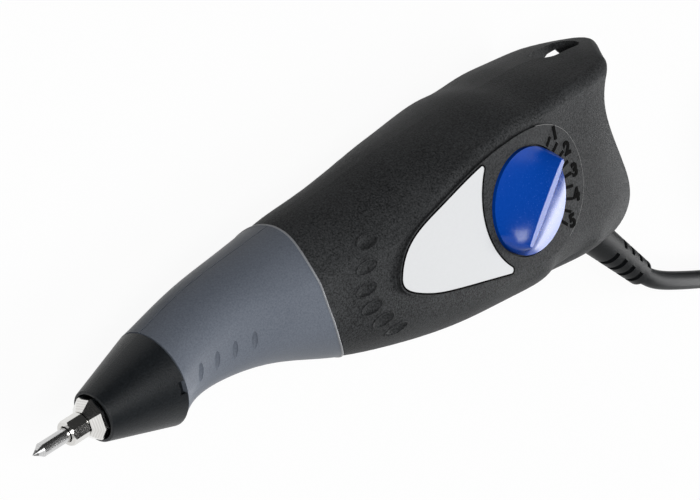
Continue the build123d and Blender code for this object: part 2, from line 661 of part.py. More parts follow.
with BuildPart() as right_housing:
    add(rest_side)
    with BuildSketch(Plane.XY.offset(FLOOR_Z)):
        add(teardrop(0))
    extrude(amount=FIELD_Z - FIELD_ROOT_Z)
    for spot_x, spot_y in SCREW_SPOTS:
        add(upright(spot_x, spot_y, SCREW_SEAT_Z, 0, SCREW_R + SLIP_FIT), mode=Mode.SUBTRACT)
        add(upright(spot_x, spot_y, FLOOR_Z, SCREW_SEAT_Z, SCREW_HEAD_R + GAP), mode=Mode.SUBTRACT)
    add(exit_block(CLAMP_SPAN, CLAMP_HALF + GAP, (-CLAMP_ROOM_Z, -CLAMP_FACE_Z)))
    add(exit_rod(CORD_INNER, RELIEF_INNER, CORD_R), mode=Mode.SUBTRACT)
    for spot_x, spot_y in CLAMP_SCREW_SPOTS:
        add(upright(spot_x, spot_y, CLAMP_SCREW_END_Z, 0, CLAMP_SCREW_R), mode=Mode.SUBTRACT)
finish(right_housing, "right_housing")

with BuildPart() as housing_screws:
    for spot_x, spot_y in SCREW_SPOTS:
        add(upright(spot_x, spot_y, SCREW_SEAT_Z, SCREW_TIP_Z, SCREW_R))
        add(upright(spot_x, spot_y, SCREW_SEAT_Z - SCREW_HEAD, SCREW_SEAT_Z, SCREW_HEAD_R))
finish(housing_screws, "housing_screws")

# Soft grips and nose cone
grip_skin = half_form(GRIP_STATIONS, 0)
grip_seam = seam(GRIP_STATIONS)
with BuildPart() as left_grip:
    add(grip_skin)
    add(half_form(GRIP_STATIONS, GRIP_WALL), mode=Mode.SUBTRACT)
    add(nose_block(-GAP), mode=Mode.INTERSECT)
    add(bowls(grip_skin, GRIP_DIMPLES, GRIP_DIMPLE, GRIP_DIMPLE_TILT), mode=Mode.SUBTRACT)
    add(grip_seam, mode=Mode.SUBTRACT)
finish(left_grip, "left_grip")

with BuildPart() as right_grip:
    add(mirror(left_grip.part, about=Plane.XY, mode=Mode.PRIVATE))
finish(right_grip, "right_grip")

with BuildPart() as nose_cone:
    add(turned([
        (CONE_FRONT, CONE_MOUTH_R), (CONE_FRONT, CONE_FRONT_R), (CONE_REAR, CONE_REAR_R),
        (CONE_REAR, SPIGOT_R), (SPIGOT_FRONT, SPIGOT_R), (SPIGOT_FRONT, CONE_SKIRT_R),
        (SEAL_REAR, CONE_SKIRT_R), (SEAL_REAR, SEAL_R), (SEAL_FRONT, SEAL_R), (SEAL_FRONT, CONE_MOUTH_R),
    ]))
    fillet(nose_cone.edges().sort_by_distance((CONE_FRONT, CONE_FRONT_R, 0))[0], CONE_EDGE)
    add(block(LATCH_X, LATCH_Y, (CONE_REAR_R - LATCH_SINK, CONE_REAR_R + LATCH_SINK)), mode=Mode.SUBTRACT)
finish(nose_cone, "nose_cone")

with BuildPart() as nose_seal:
    add(ring(SEAL_FRONT, SEAL_REAR, SEAL_R, CHUCK_NECK_R + GAP))
finish(nose_seal, "nose_seal")

# Point, collet and chuck
with BuildPart() as carbide_point:
    add(turned([
        (0, 0), (0, CARBIDE_NOSE_R), (CARBIDE_CONE, CARBIDE_R), (CARBIDE_STEM, CARBIDE_R), (CARBIDE_STEM, 0),
    ]))
finish(carbide_point, "carbide_point")

with BuildPart() as engraving_tip:
    add(turned([
        (CARBIDE_CONE, CARBIDE_R), (TIP_CONE, TIP_R), (TIP_END, TIP_R), (TIP_END, 0),
        (CARBIDE_STEM, 0), (CARBIDE_STEM, CARBIDE_R),
    ]))
finish(engraving_tip, "engraving_tip")

with BuildPart() as collet:
    add(ring(COLLET_FRONT, TIP_END, COLLET_R, TIP_R))
    slot_span = (COLLET_FRONT, COLLET_SLOT_END)
    add(block(slot_span, (-COLLET_R, COLLET_R), (-COLLET_SLOT / 2, COLLET_SLOT / 2)), mode=Mode.SUBTRACT)
    add(block(slot_span, (-COLLET_SLOT / 2, COLLET_SLOT / 2), (-COLLET_R, COLLET_R)), mode=Mode.SUBTRACT)
finish(collet, "collet")

with BuildPart() as collet_nut:
    add(sided_bar(NUT_FRONT, NUT_REAR, NUT_FLATS, NUT_FLATS))
    add(turned([
        (NUT_FRONT, 0), (NUT_FRONT, NUT_FLATS / 2), (NUT_FRONT + NUT_CHAMFER, NUT_CORNER_R),
        (NUT_REAR - NUT_CHAMFER, NUT_CORNER_R), (NUT_REAR, NUT_FLATS / 2), (NUT_REAR, 0),
    ]), mode=Mode.INTERSECT)
    add(ring(NUT_FRONT, NUT_REAR, TIP_R + GAP), mode=Mode.SUBTRACT)
    add(ring(COLLET_FRONT - GAP, NUT_REAR, COLLET_R + RUN_FIT), mode=Mode.SUBTRACT)
finish(collet_nut, "collet_nut")

with BuildPart() as chuck_body:
    add(sided_bar(CHUCK_FRONT, CHUCK_FRONT + CHUCK_TAPER, CHUCK_FRONT_FLATS, CHUCK_FLATS))
    add(sided_bar(CHUCK_FRONT + CHUCK_TAPER, CHUCK_HEAD_END, CHUCK_FLATS, CHUCK_FLATS))
    add(ring(CHUCK_HEAD_END, CHUCK_REAR, CHUCK_NECK_R))
    add(ring(CHUCK_FRONT, TIP_END, COLLET_R), mode=Mode.SUBTRACT)
    add(ring(SHAFT_FRONT, CHUCK_REAR, SHAFT_R), mode=Mode.SUBTRACT)
finish(chuck_body, "chuck_body")

# Shaft and what rides on it
with BuildPart() as drive_shaft:
    add(ring(SHAFT_FRONT, SHAFT_REAR, SHAFT_R))
finish(drive_shaft, "drive_shaft")

with BuildPart() as stop_collar:
    add(ring(BUFFER_REAR + STOP_GAP, BUFFER_REAR + STOP_GAP + COLLAR_LENGTH, COLLAR_R, SHAFT_R))
finish(stop_collar, "stop_collar")

with BuildPart() as armature:
    add(ring(ARMATURE_FRONT, ARMATURE_REAR, ARMATURE_R, SHAFT_R))
finish(armature, "armature")

with BuildPart() as spring_cup:
    add(ring(CUP_FRONT, SHAFT_REAR, CUP_R, SHAFT_R))
    add(ring(SHAFT_REAR, SHAFT_REAR + CUP_LIP, CUP_R, SPRING_R + SPRING_WIRE_R + GAP))
finish(spring_cup, "spring_cup")

with BuildPart() as return_spring:
    with BuildLine():
        wire_line = Helix(
            SPRING_HEIGHT / SPRING_TURNS, SPRING_HEIGHT, SPRING_R,
            center=(SPRING_START, 0, 0), direction=(1, 0, 0),
        )
    with BuildSketch(Plane(origin=wire_line @ 0, z_dir=wire_line % 0)):
        Rectangle(2 * SPRING_WIRE_R, 2 * SPRING_WIRE_R)
    sweep(is_frenet=True)
finish(return_spring, "return_spring")

# Bearings, buffer and the magnet
with BuildPart() as front_bush:
    add(ring(SPIGOT_FRONT, BUSH_REAR, BUSH_R, SHAFT_R + RUN_FIT))
    add(ring(SPIGOT_FRONT - BUSH_FLANGE, SPIGOT_FRONT, BUSH_FLANGE_R, SHAFT_R + RUN_FIT))
finish(front_bush, "front_bush")

with BuildPart() as front_buffer:
    add(ring(BULKHEAD_X, BUFFER_REAR, BUFFER_R, SHAFT_R + GAP))
finish(front_buffer, "front_buffer")

with BuildPart() as field_core:
    add(block((CORE_FRONT, CORE_REAR), (-CORE_HALF_Y, CORE_HALF_Y), (-CORE_HALF_Z, CORE_HALF_Z)))
    window = CORE_HALF_Y - CORE_LIMB
    add(block((COIL_FRONT, COIL_REAR), (-window, window), (-CORE_HALF_Z, CORE_HALF_Z)), mode=Mode.SUBTRACT)
    add(ring(CORE_FRONT, COIL_FRONT, BOBBIN_BORE), mode=Mode.SUBTRACT)
    add(ring(COIL_REAR, CORE_REAR, REAR_BUSH_R), mode=Mode.SUBTRACT)
finish(field_core, "field_core")

with BuildPart() as coil_bobbin:
    add(ring(COIL_FRONT, COIL_REAR, BOBBIN_BORE + BOBBIN_TUBE, BOBBIN_BORE))
    add(ring(COIL_FRONT, COIL_FRONT + BOBBIN_FLANGE, BOBBIN_FLANGE_R, BOBBIN_BORE))
    add(ring(COIL_REAR - BOBBIN_FLANGE, COIL_REAR, BOBBIN_FLANGE_R, BOBBIN_BORE))
finish(coil_bobbin, "coil_bobbin")

with BuildPart() as coil_winding:
    add(ring(COIL_FRONT + BOBBIN_FLANGE, COIL_REAR - BOBBIN_FLANGE, WINDING_R, BOBBIN_BORE + BOBBIN_TUBE))
finish(coil_winding, "coil_winding")

with BuildPart() as pole_piece:
    add(ring(POLE_FRONT, COIL_REAR, BOBBIN_BORE, SHAFT_R + GAP))
finish(pole_piece, "pole_piece")

with BuildPart() as rear_bush:
    add(ring(COIL_REAR, REAR_BUSH_REAR, REAR_BUSH_R, SHAFT_R + RUN_FIT))
finish(rear_bush, "rear_bush")

# Stroke setting
with BuildPart() as stroke_slide:
    add(ring(SLIDE_SEAT_X, SLIDE_SEAT_X + SLIDE_SEAT, SLIDE_SEAT_R))
    plate = (SLIDE_SEAT_X + SLIDE_SEAT, SLIDE_REAR)
    add(block(plate, (SLIDE_BOTTOM, SLIDE_TOP), (-SLIDE_HALF_Z, SLIDE_HALF_Z)))
    slot_half = PIN_R + SLIP_FIT
    slot_x = (PIN_X - slot_half, PIN_X + slot_half)
    slot_y = (DIAL_Y - SLIDE_SLOT / 2, DIAL_Y + SLIDE_SLOT / 2)
    add(block(slot_x, slot_y, (-SLIDE_HALF_Z, SLIDE_HALF_Z)), mode=Mode.SUBTRACT)
finish(stroke_slide, "stroke_slide")

with BuildPart() as stroke_dial:
    for share, half_long, half_wide, (end_x, end_y) in KNOB_SECTIONS:
        with BuildSketch(KNOB_FLAT.offset(share * KNOB_CREST)):
            with BuildLine():
                ThreePointArc((-end_x, end_y), (0, half_wide), (end_x, end_y))
                ThreePointArc((end_x, end_y), (half_long, 0), (end_x, -end_y))
                ThreePointArc((end_x, -end_y), (0, -half_wide), (-end_x, -end_y))
                ThreePointArc((-end_x, -end_y), (-half_long, 0), (-end_x, end_y))
            make_face()
    loft()
    fillet(stroke_dial.faces().sort_by(Axis.Z)[-1].edges(), CREST_EDGE)
    extrude(stroke_dial.faces().sort_by(Axis.Z)[0], amount=KNOB_RIM_Z - KNOB_BASE_Z)
    add(upright(DIAL_X, DIAL_Y, KNOB_BASE_Z, SPINDLE_TOP_Z, SPINDLE_R), mode=Mode.SUBTRACT)
finish(stroke_dial, "stroke_dial")

with BuildPart() as dial_washer:
    add(upright(DIAL_X, DIAL_Y, WELL_Z, WELL_Z + WASHER_THICK, WASHER_R))
    add(upright(DIAL_X, DIAL_Y, WELL_Z, WELL_Z + WASHER_THICK, SPINDLE_R + GAP), mode=Mode.SUBTRACT)
finish(dial_washer, "dial_washer")

clip_top = SPINDLE_BOSS_Z - GAP
clip_low = clip_top - CLIP_THICK
with BuildPart() as dial_spindle:
    add(upright(DIAL_X, DIAL_Y, SPINDLE_END_Z, clip_low, SPINDLE_R))
    add(upright(DIAL_X, DIAL_Y, clip_low, clip_top, SPINDLE_R - CLIP_BITE))
    add(upright(DIAL_X, DIAL_Y, clip_top, SPINDLE_TOP_Z, SPINDLE_R))
    add(upright(PIN_X, PIN_Y, PIN_END_Z, SPINDLE_END_Z, PIN_R))
finish(dial_spindle, "dial_spindle")

with BuildPart() as spindle_clip:
    add(upright(DIAL_X, DIAL_Y, clip_low, clip_top, CLIP_R))
    add(upright(DIAL_X, DIAL_Y, clip_low, clip_top, SPINDLE_R - CLIP_BITE), mode=Mode.SUBTRACT)
    mouth = (DIAL_Y - SPINDLE_R + CLIP_BITE, DIAL_Y + SPINDLE_R - CLIP_BITE)
    add(block((DIAL_X, DIAL_X + CLIP_R), mouth, (clip_low, clip_top)), mode=Mode.SUBTRACT)
finish(spindle_clip, "spindle_clip")

with BuildPart() as label_plate:
    with BuildSketch(Plane.XY.offset(FIELD_Z - LABEL_THICK)):
        add(label_outline(SLIP_FIT))
    extrude(amount=LABEL_THICK)
finish(label_plate, "label_plate")

# Switch
with BuildPart() as switch_slider:
    pad_y = (SLIDER_Y - SLIDER_HEIGHT / 2, SLIDER_Y + SLIDER_HEIGHT / 2)
    add(block((SLIDER_FLOOR_X + GAP, SLIDER_FACE_X), pad_y, (-SLIDER_HALF_Z, SLIDER_HALF_Z)))
    fillet(switch_slider.edges().filter_by(Axis.X), SLIDER_ROUND)
    ridge_pitch = SLIDER_HEIGHT / (SLIDER_RIDGES + 1)
    for ridge in range(SLIDER_RIDGES):
        groove_y = pad_y[0] + ridge_pitch * (ridge + 1)
        with BuildSketch(Plane.XY.offset(-SLIDER_HALF_Z)):
            with Locations((SLIDER_FACE_X, groove_y)):
                Rectangle(2 * RIDGE_DEPTH, ridge_pitch / 2)
        extrude(amount=2 * SLIDER_HALF_Z, mode=Mode.SUBTRACT)
    stem_y = (STEM_Y - STEM_HEIGHT / 2, STEM_Y + STEM_HEIGHT / 2)
    add(block((STEM_FRONT_X, SLIDER_FLOOR_X + GAP), stem_y, (-STEM_HALF_Z, STEM_HALF_Z)))
    keep_y = (stem_y[0] - STEM_KEEP, stem_y[1] + STEM_KEEP)
    keep_z = (-STEM_HALF_Z - KEEP_SIDE, STEM_HALF_Z + KEEP_SIDE)
    add(block((POCKET_REAR_X - GAP - KEEP_THICK, POCKET_REAR_X - GAP), keep_y, keep_z))
finish(switch_slider, "switch_slider")

with BuildPart() as switch_body:
    body_z = (-SWITCH_HALF_Z, SWITCH_HALF_Z)
    add(block((SWITCH_FRONT_X, SWITCH_REAR_X), (SWITCH_LOW, SWITCH_HIGH), body_z))
finish(switch_body, "switch_body")

# Lead, its relief and its clamp
with BuildPart() as strain_relief:
    add(turned([
        (RELIEF_INNER, CORD_R), (RELIEF_INNER, RELIEF_FLANGE_R),
        (RELIEF_INNER + RELIEF_FLANGE, RELIEF_FLANGE_R), (RELIEF_INNER + RELIEF_FLANGE, RELIEF_NECK_R),
        (RELIEF_NECK_END, RELIEF_NECK_R), (RELIEF_NECK_END, RELIEF_BASE_R),
        (RELIEF_LENGTH, RELIEF_END_R), (RELIEF_LENGTH, CORD_R),
    ], EXIT_FLAT))
    for slot in range(RELIEF_SLOTS):
        slot_at = RELIEF_FIRST + slot * RELIEF_PITCH
        for side in (1, -1):
            side_at = slot_at + (1 - side) * RELIEF_PITCH / 4
            with BuildSketch(exit_square(side_at)):
                Circle(RELIEF_FLANGE_R)
                Circle(RELIEF_SLOT_FLOOR, mode=Mode.SUBTRACT)
                with Locations((0, -side * (RELIEF_FLANGE_R - RELIEF_SPINE))):
                    Rectangle(2 * RELIEF_FLANGE_R, 2 * RELIEF_FLANGE_R, mode=Mode.SUBTRACT)
            extrude(amount=RELIEF_SLOT, mode=Mode.SUBTRACT)
finish(strain_relief, "strain_relief")

with BuildPart() as cord_clamp:
    add(exit_block(CLAMP_SPAN, CLAMP_HALF, (CLAMP_FACE_Z, CLAMP_TOP_Z)))
    add(exit_rod(CORD_INNER, RELIEF_INNER, CORD_R), mode=Mode.SUBTRACT)
    for spot_x, spot_y in CLAMP_SCREW_SPOTS:
        add(upright(spot_x, spot_y, 0, CLAMP_TOP_Z, CLAMP_SCREW_R), mode=Mode.SUBTRACT)
finish(cord_clamp, "cord_clamp")

with BuildPart() as clamp_screws:
    for spot_x, spot_y in CLAMP_SCREW_SPOTS:
        add(upright(spot_x, spot_y, CLAMP_SCREW_END_Z, CLAMP_TOP_Z, CLAMP_SCREW_R))
        add(upright(spot_x, spot_y, CLAMP_TOP_Z, CLAMP_TOP_Z + CLAMP_SCREW_HEAD, CLAMP_SCREW_HEAD_R))
finish(clamp_screws, "clamp_screws")

route = [Vector(*exit_point(CORD_STRAIGHT)), Vector(*exit_point(CORD_BEND_START))]
route += [Vector(EXIT[0] + x, EXIT[1] + y, z) for x, y, z in CORD_ROUTE]
bends = []
for before, corner, after in zip(route, route[1:], route[2:]):
    turn = math.radians((corner - before).get_angle(after - corner))
    shorter = min((corner - before).length, (after - corner).length)
    bends.append(BEND_SHARE * shorter / math.tan(turn / 2))
print("bend radii", [round(bend, 1) for bend in bends])
with BuildPart() as power_cord:
    with BuildSketch(exit_square(CORD_INNER)):
        Circle(CORD_R)
    extrude(amount=CORD_STRAIGHT - CORD_INNER)
    with BuildLine() as lead:
        FilletPolyline(*route, radius=bends)
    with BuildSketch(exit_square(CORD_STRAIGHT)):
        Circle(CORD_R)
    sweep(path=lead.wires()[0])
    with BuildSketch(plug_square(-PLUG_LEAD)):
        with Locations((0, PLUG_THICK / 2)):
            Circle(CORD_R)
    extrude(amount=PLUG_LEAD)
finish(power_cord, "power_cord")

with BuildPart() as cord_coil:
    with BuildSketch(coil_section(0)):
        with Locations((COIL_R, 0)):
            RegularPolygon(COIL_BUNDLE_R, COIL_SIDES)
    revolve(axis=COIL_AXIS)
finish(cord_coil, "cord_coil")

with BuildPart() as cord_tie:
    with BuildSketch(coil_section(TIE_ANGLE)):
        with Locations((COIL_R, 0)):
            RegularPolygon(COIL_BUNDLE_R + TIE_THICK, COIL_SIDES)
            RegularPolygon(COIL_BUNDLE_R, COIL_SIDES, mode=Mode.SUBTRACT)
    revolve(axis=COIL_AXIS, revolution_arc=math.degrees(TIE_WIDTH / COIL_R))
finish(cord_tie, "cord_tie")

with BuildPart() as plug_body:
    with BuildSketch(PLUG_FLAT):
        with BuildLine():
            Polyline(
                (0, PLUG_NOSE_WIDTH / 2), (PLUG_SHOULDER, PLUG_WIDTH / 2), (PLUG_LENGTH, PLUG_WIDTH / 2),
                (PLUG_LENGTH, -PLUG_WIDTH / 2), (PLUG_SHOULDER, -PLUG_WIDTH / 2), (0, -PLUG_NOSE_WIDTH / 2),
                close=True,
            )
        make_face()
    extrude(amount=PLUG_THICK)
    fillet(plug_body.edges().filter_by(Axis.Z), PLUG_ROUND)
    fillet(plug_body.faces().sort_by(Axis.Z)[-1].edges(), PLUG_EDGE)
    for side in (1, -1):
        with BuildSketch(plug_square(PLUG_LENGTH - PLUG_PIN_ROOT)):
            with Locations((side * PLUG_PIN_SPACING / 2, PLUG_THICK / 2)):
                Circle(PLUG_PIN_R)
        extrude(amount=PLUG_PIN_ROOT, mode=Mode.SUBTRACT)
finish(plug_body, "plug_body")

with BuildPart() as plug_pins:
    for side in (1, -1):
        with BuildSketch(plug_square(PLUG_LENGTH - PLUG_PIN_ROOT)):
            with Locations((side * PLUG_PIN_SPACING / 2, PLUG_THICK / 2)):
                Circle(PLUG_PIN_R)
        extrude(amount=PLUG_PIN_ROOT + PLUG_PIN_LENGTH)
finish(plug_pins, "plug_pins")
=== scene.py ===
# %% [markdown]
# # Electric engraver
# The tool lies on its side with the dial up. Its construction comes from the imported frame, in
# metres, with the engraving point at the origin and +X along the drive to the tail. This file
# gives the pieces their finishes and adds the scale round the dial, fine edges and lines, the
# screws, the return spring, the lead and the studio.

# %% Frame
import json
import math

import bmesh
import bpy
from mathutils import Matrix, Vector
from mathutils.bvhtree import BVHTree


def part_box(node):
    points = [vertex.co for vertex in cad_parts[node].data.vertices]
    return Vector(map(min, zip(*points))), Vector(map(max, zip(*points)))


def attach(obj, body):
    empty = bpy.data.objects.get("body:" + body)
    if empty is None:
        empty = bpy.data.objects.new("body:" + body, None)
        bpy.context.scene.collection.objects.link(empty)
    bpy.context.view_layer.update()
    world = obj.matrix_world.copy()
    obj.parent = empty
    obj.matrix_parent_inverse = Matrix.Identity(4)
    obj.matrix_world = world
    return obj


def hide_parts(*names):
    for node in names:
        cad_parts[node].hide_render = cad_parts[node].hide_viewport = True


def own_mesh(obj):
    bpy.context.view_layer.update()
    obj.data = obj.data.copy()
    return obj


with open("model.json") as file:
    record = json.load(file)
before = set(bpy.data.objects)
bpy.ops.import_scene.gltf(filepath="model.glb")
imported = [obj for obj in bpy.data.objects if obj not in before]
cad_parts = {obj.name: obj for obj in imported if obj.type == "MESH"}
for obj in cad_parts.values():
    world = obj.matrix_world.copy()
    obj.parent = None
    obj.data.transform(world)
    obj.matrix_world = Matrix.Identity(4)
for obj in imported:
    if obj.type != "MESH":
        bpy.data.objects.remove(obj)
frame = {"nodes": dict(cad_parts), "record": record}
nodes = frame["nodes"]
joints = {joint["name"]: joint for joint in frame["record"]["behaviour"]["joints"]}
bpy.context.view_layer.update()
MM = 0.001
TURN = 2 * math.pi
DOWN = Vector((0, 0, -1))
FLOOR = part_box("right_housing")[0].z
print(len(nodes), "nodes, floor at", round(FLOOR / MM, 2), "mm")

# %% [markdown]
# ## Objects and meshes
# Blender keeps a shape's data apart from the object that shows it. One helper makes the object
# for some data. The other turns what a curve, a text or a node tree gives into a plain mesh,
# because the finished model keeps plain meshes only.

# %% Object helpers
def show(name, data):
    """An object for some data, linked to the scene."""
    made = bpy.data.objects.new(name, data)
    bpy.context.scene.collection.objects.link(made)
    return made


def frozen(holder):
    """Plain mesh of an object's evaluated shape. The object itself goes."""
    shape = holder.evaluated_get(bpy.context.evaluated_depsgraph_get())
    made = bpy.data.meshes.new_from_object(shape)
    bpy.data.objects.remove(holder)
    return made


print("object helpers ready")

# %% [markdown]
# ## Camera
# A long lens stands in front of the point, on the side of the ridge, and looks down at the dial
# side. Its place could be found by eye. It was found by lining up the two rims of the nose cone
# and the round dial, because the ellipse that a circle makes in a picture tells how it is turned.

# %% Camera
SENSOR = 36.0
FOCAL_PIXELS = 2400.0
FRAME_WIDTH = 700.0
CAMERA_PLACE = (-0.247154, 0.216948, 0.385268)
CAMERA_TURNS = (-10.275849, -45.810208, -17.727484)
lens = bpy.data.cameras.new("camera")
lens.sensor_width = SENSOR
lens.lens = SENSOR * FOCAL_PIXELS / FRAME_WIDTH
camera = show("camera", lens)
camera.location = CAMERA_PLACE
camera.rotation_euler = [math.radians(turn) for turn in CAMERA_TURNS]
bpy.context.scene.camera = camera
print("lens", round(lens.lens, 1), "mm")

# %% [markdown]
# ## Shader arithmetic
# A finish is a small tree of nodes. Written as expressions it reads like a recipe, so one class
# wraps an output socket, and its operators add Math nodes. The class also has the one method
# that adds any other node.

# %% Socket class
class Wire:
    """An output socket of a node tree, on which arithmetic adds Math nodes."""

    def __init__(self, tree, socket=None):
        self.tree = tree
        self.socket = socket

    def node(self, kind, settings=(), inputs=(), out=0):
        """Add a node: its type, its settings, the values or wires of its sockets."""
        made = self.tree.nodes.new(kind)
        for name, value in dict(settings).items():
            setattr(made, name, value)
        for name, value in dict(inputs).items():
            if isinstance(value, Wire):
                self.tree.links.new(value.socket, made.inputs[name])
            else:
                made.inputs[name].default_value = value
        return Wire(self.tree, made.outputs[out] if made.outputs else None)

    def math(self, operation, first, second=0.0):
        """Add a Math node for two values, or for one where the operation takes one."""
        return self.node("ShaderNodeMath", {"operation": operation}, {0: first, 1: second})

    def __add__(self, other):
        return self.math("ADD", self, other)

    def __mul__(self, other):
        return self.math("MULTIPLY", self, other)

    def larger(self, other):
        return self.math("MAXIMUM", self, other)

    def stretch(self, low, high):
        """This value taken from between two limits to 0 and 1, and clamped there."""
        limits = {"From Min": low, "From Max": high}
        return self.node("ShaderNodeMapRange", {"clamp": True}, {"Value": self, **limits})

    def mix(self, first, second):
        """First colour where this value is 0, second colour where it is 1."""
        settings = {"data_type": "RGBA"}
        return self.node("ShaderNodeMix", settings, {0: self, 6: first, 7: second}, out=2)

    __radd__ = __add__
    __rmul__ = __mul__


print("shader class ready")

# %% Material helpers
def shade(grey, blue=1.0):
    """A grey as a colour, with its blue a little up or down."""
    return (grey, grey * (1 + blue) / 2, grey * blue, 1.0)


def new_finish(name):
    """An empty material and the wire its tree starts from."""
    material = bpy.data.materials.new(name)
    material.use_nodes = True
    material.node_tree.nodes.clear()
    return material, Wire(material.node_tree)


def end_finish(wire, shader):
    """Join a shader to the material's output."""
    wire.node("ShaderNodeOutputMaterial", {}, {"Surface": shader})


print("material helpers ready")

# %% [markdown]
# ## Studio
# The tool stands alone on white. More light would give that too, but it would bleach the tool.
# So Light Path makes the floor and the world white to the eye, to gloss and to glass, and dim
# to all other rays, and the white adds no light of its own. The floor keeps a part that is lit,
# and that part holds the shadow. Of the three soft lamps, the low one gives only gloss.

# %% Sky
AMBIENT = 0.11
WHITE = shade(1.0)
DIRECT_RAYS = ("Is Camera Ray", "Is Glossy Ray", "Is Transmission Ray")


def seen_direct(wire):
    """1 for rays of the eye, of gloss and of glass, 0 for all others."""
    path = wire.node("ShaderNodeLightPath").socket.node
    eye, gloss, glass = [Wire(wire.tree, path.outputs[ray]) for ray in DIRECT_RAYS]
    return eye.larger(gloss).larger(glass)


world = bpy.data.worlds.new("studio")
world.use_nodes = True
world.node_tree.nodes.clear()
air = Wire(world.node_tree)
glow = seen_direct(air) * (1 - AMBIENT) + AMBIENT
sky = air.node("ShaderNodeBackground", {}, {"Color": WHITE, "Strength": glow})
air.node("ShaderNodeOutputWorld", {}, {"Surface": sky})
bpy.context.scene.world = world
print("sky with an ambient light of", AMBIENT)

# %% Floor
FLOOR_SELF = 0.94
FLOOR_HALF = 3.0
FLOOR_LIT = shade(0.90)
FLOOR_DIM = shade(0.05)


def panel(name, corners, material):
    """A flat piece of the studio."""
    mesh = bpy.data.meshes.new(name)
    mesh.from_pydata(corners, [], [(0, 1, 2, 3)])
    mesh.materials.append(material)
    made = show(name, mesh)
    return made


paper, sheet = new_finish("paper_floor")
seen = seen_direct(sheet)
lit = sheet.node("ShaderNodeBsdfDiffuse", {}, {"Color": seen.mix(FLOOR_DIM, FLOOR_LIT)})
white = sheet.node("ShaderNodeEmission", {}, {"Color": WHITE, "Strength": 1.0})
end_finish(sheet, sheet.node("ShaderNodeMixShader", {}, {0: seen * FLOOR_SELF, 1: lit, 2: white}))
panel("floor", [
    (-FLOOR_HALF, -FLOOR_HALF, FLOOR), (FLOOR_HALF, -FLOOR_HALF, FLOOR),
    (FLOOR_HALF, FLOOR_HALF, FLOOR), (-FLOOR_HALF, FLOOR_HALF, FLOOR)], paper)
print("floor", 2 * FLOOR_HALF, "m wide")

# %% Lamps
MIDDLE = (0.11, 0.0, 0.0)
KNOB = (*joints["dial_turn"]["pos_m"][:2], 22 * MM)
# Each lamp: its place, what it looks at, the length of its side and its power in watts
LAMPS = {
    "top": ((-0.40, 0.22, 0.86), MIDDLE, 0.50, 6.8),
    "side": ((0.80, -0.27, 0.60), MIDDLE, 0.40, 4.4),
    "low": ((0.56, -0.28, 0.10), KNOB, 0.30, 1.5),
}


def softbox(name, spot, aim, side, power):
    """A square soft lamp at a spot, turned to look at a point."""
    lamp = bpy.data.lights.new(name, "AREA")
    lamp.shape = "SQUARE"
    lamp.size = side
    lamp.energy = power
    made = show(name, lamp)
    made.location = spot
    made.rotation_euler = (Vector(aim) - Vector(spot)).to_track_quat("-Z", "Y").to_euler()
    return made


lamps = {name: softbox(name, *values) for name, values in LAMPS.items()}
lamps["low"].visible_diffuse = False
print(len(lamps), "lamps")

# %% [markdown]
# ## Black boards
# Bright metal on a white table has no edges, because all that it mirrors is white. A
# photographer stands a black board beside it. One stands along the ridge side for the metal,
# and one hangs over the dial, so that the gloss of the knob shows its two slopes apart. The
# camera and the shadows don't see them, and the one overhead keeps no light off the tool.

# %% Boards
BOARD_GREY = shade(0.10)
BESIDE_X = (-0.6, 0.7)
BESIDE_Y = 0.35
BESIDE_TOP = 0.6
ABOVE_X = (-0.7, 0.9)
ABOVE_Y = (-1.5, 1.1)
ABOVE_Z = 1.2
board_black, cloth = new_finish("board_black")
end_finish(cloth, cloth.node("ShaderNodeBsdfDiffuse", {}, {"Color": BOARD_GREY}))

left, right = BESIDE_X
beside = panel("board_beside", [
    (left, BESIDE_Y, FLOOR), (right, BESIDE_Y, FLOOR),
    (right, BESIDE_Y, BESIDE_TOP), (left, BESIDE_Y, BESIDE_TOP)], board_black)
(left, right), (near, far) = ABOVE_X, ABOVE_Y
above = panel("board_above", [
    (left, near, ABOVE_Z), (right, near, ABOVE_Z),
    (right, far, ABOVE_Z), (left, far, ABOVE_Z)], board_black)
for board in (beside, above):
    board.visible_camera = False
    board.visible_shadow = False
above.visible_diffuse = False
print("two boards")

# %% [markdown]
# ## Moulded plastics
# The housing is black plastic from a mould whose walls were spark eroded, which leaves an even
# grain of fine pits. Pits could be modelled, or painted in a picture. Two noises of about
# 0.45 mm and 0.17 mm make them here, in the colour, the roughness and the bump, because noise
# costs no faces and looks the same from every side. The same recipe with other numbers gives
# the smoother nose cone, the soft grip, the knob, the label and the hidden plastics.

# %% Plastic recipe
FINE_RATIO = 2.7
COARSE_SHARE = 0.65
CLOUD_SCALE = 45.0
GRAIN_SHARE = 0.8
TONE_RANGE = (0.36, 0.64)
PIT_BUMP = 0.6
PLASTIC_SPREAD = 0.12


def surface(wire, **sockets):
    """Principled shader with these sockets, joined to the material's output."""
    names = {key.replace("_", " "): value for key, value in sockets.items()}
    end_finish(wire, wire.node("ShaderNodeBsdfPrincipled", {}, names))


def noise(wire, spot, scale, detail=2.0):
    """Noise on a spot, with its features about 1 / scale metres apart."""
    return wire.node("ShaderNodeTexNoise", {}, {"Vector": spot, "Scale": scale, "Detail": detail})


def bumped(wire, height, strength, depth):
    """Normals of a surface with these heights."""
    return wire.node("ShaderNodeBump", {}, {
        "Strength": strength, "Distance": depth, "Height": height})


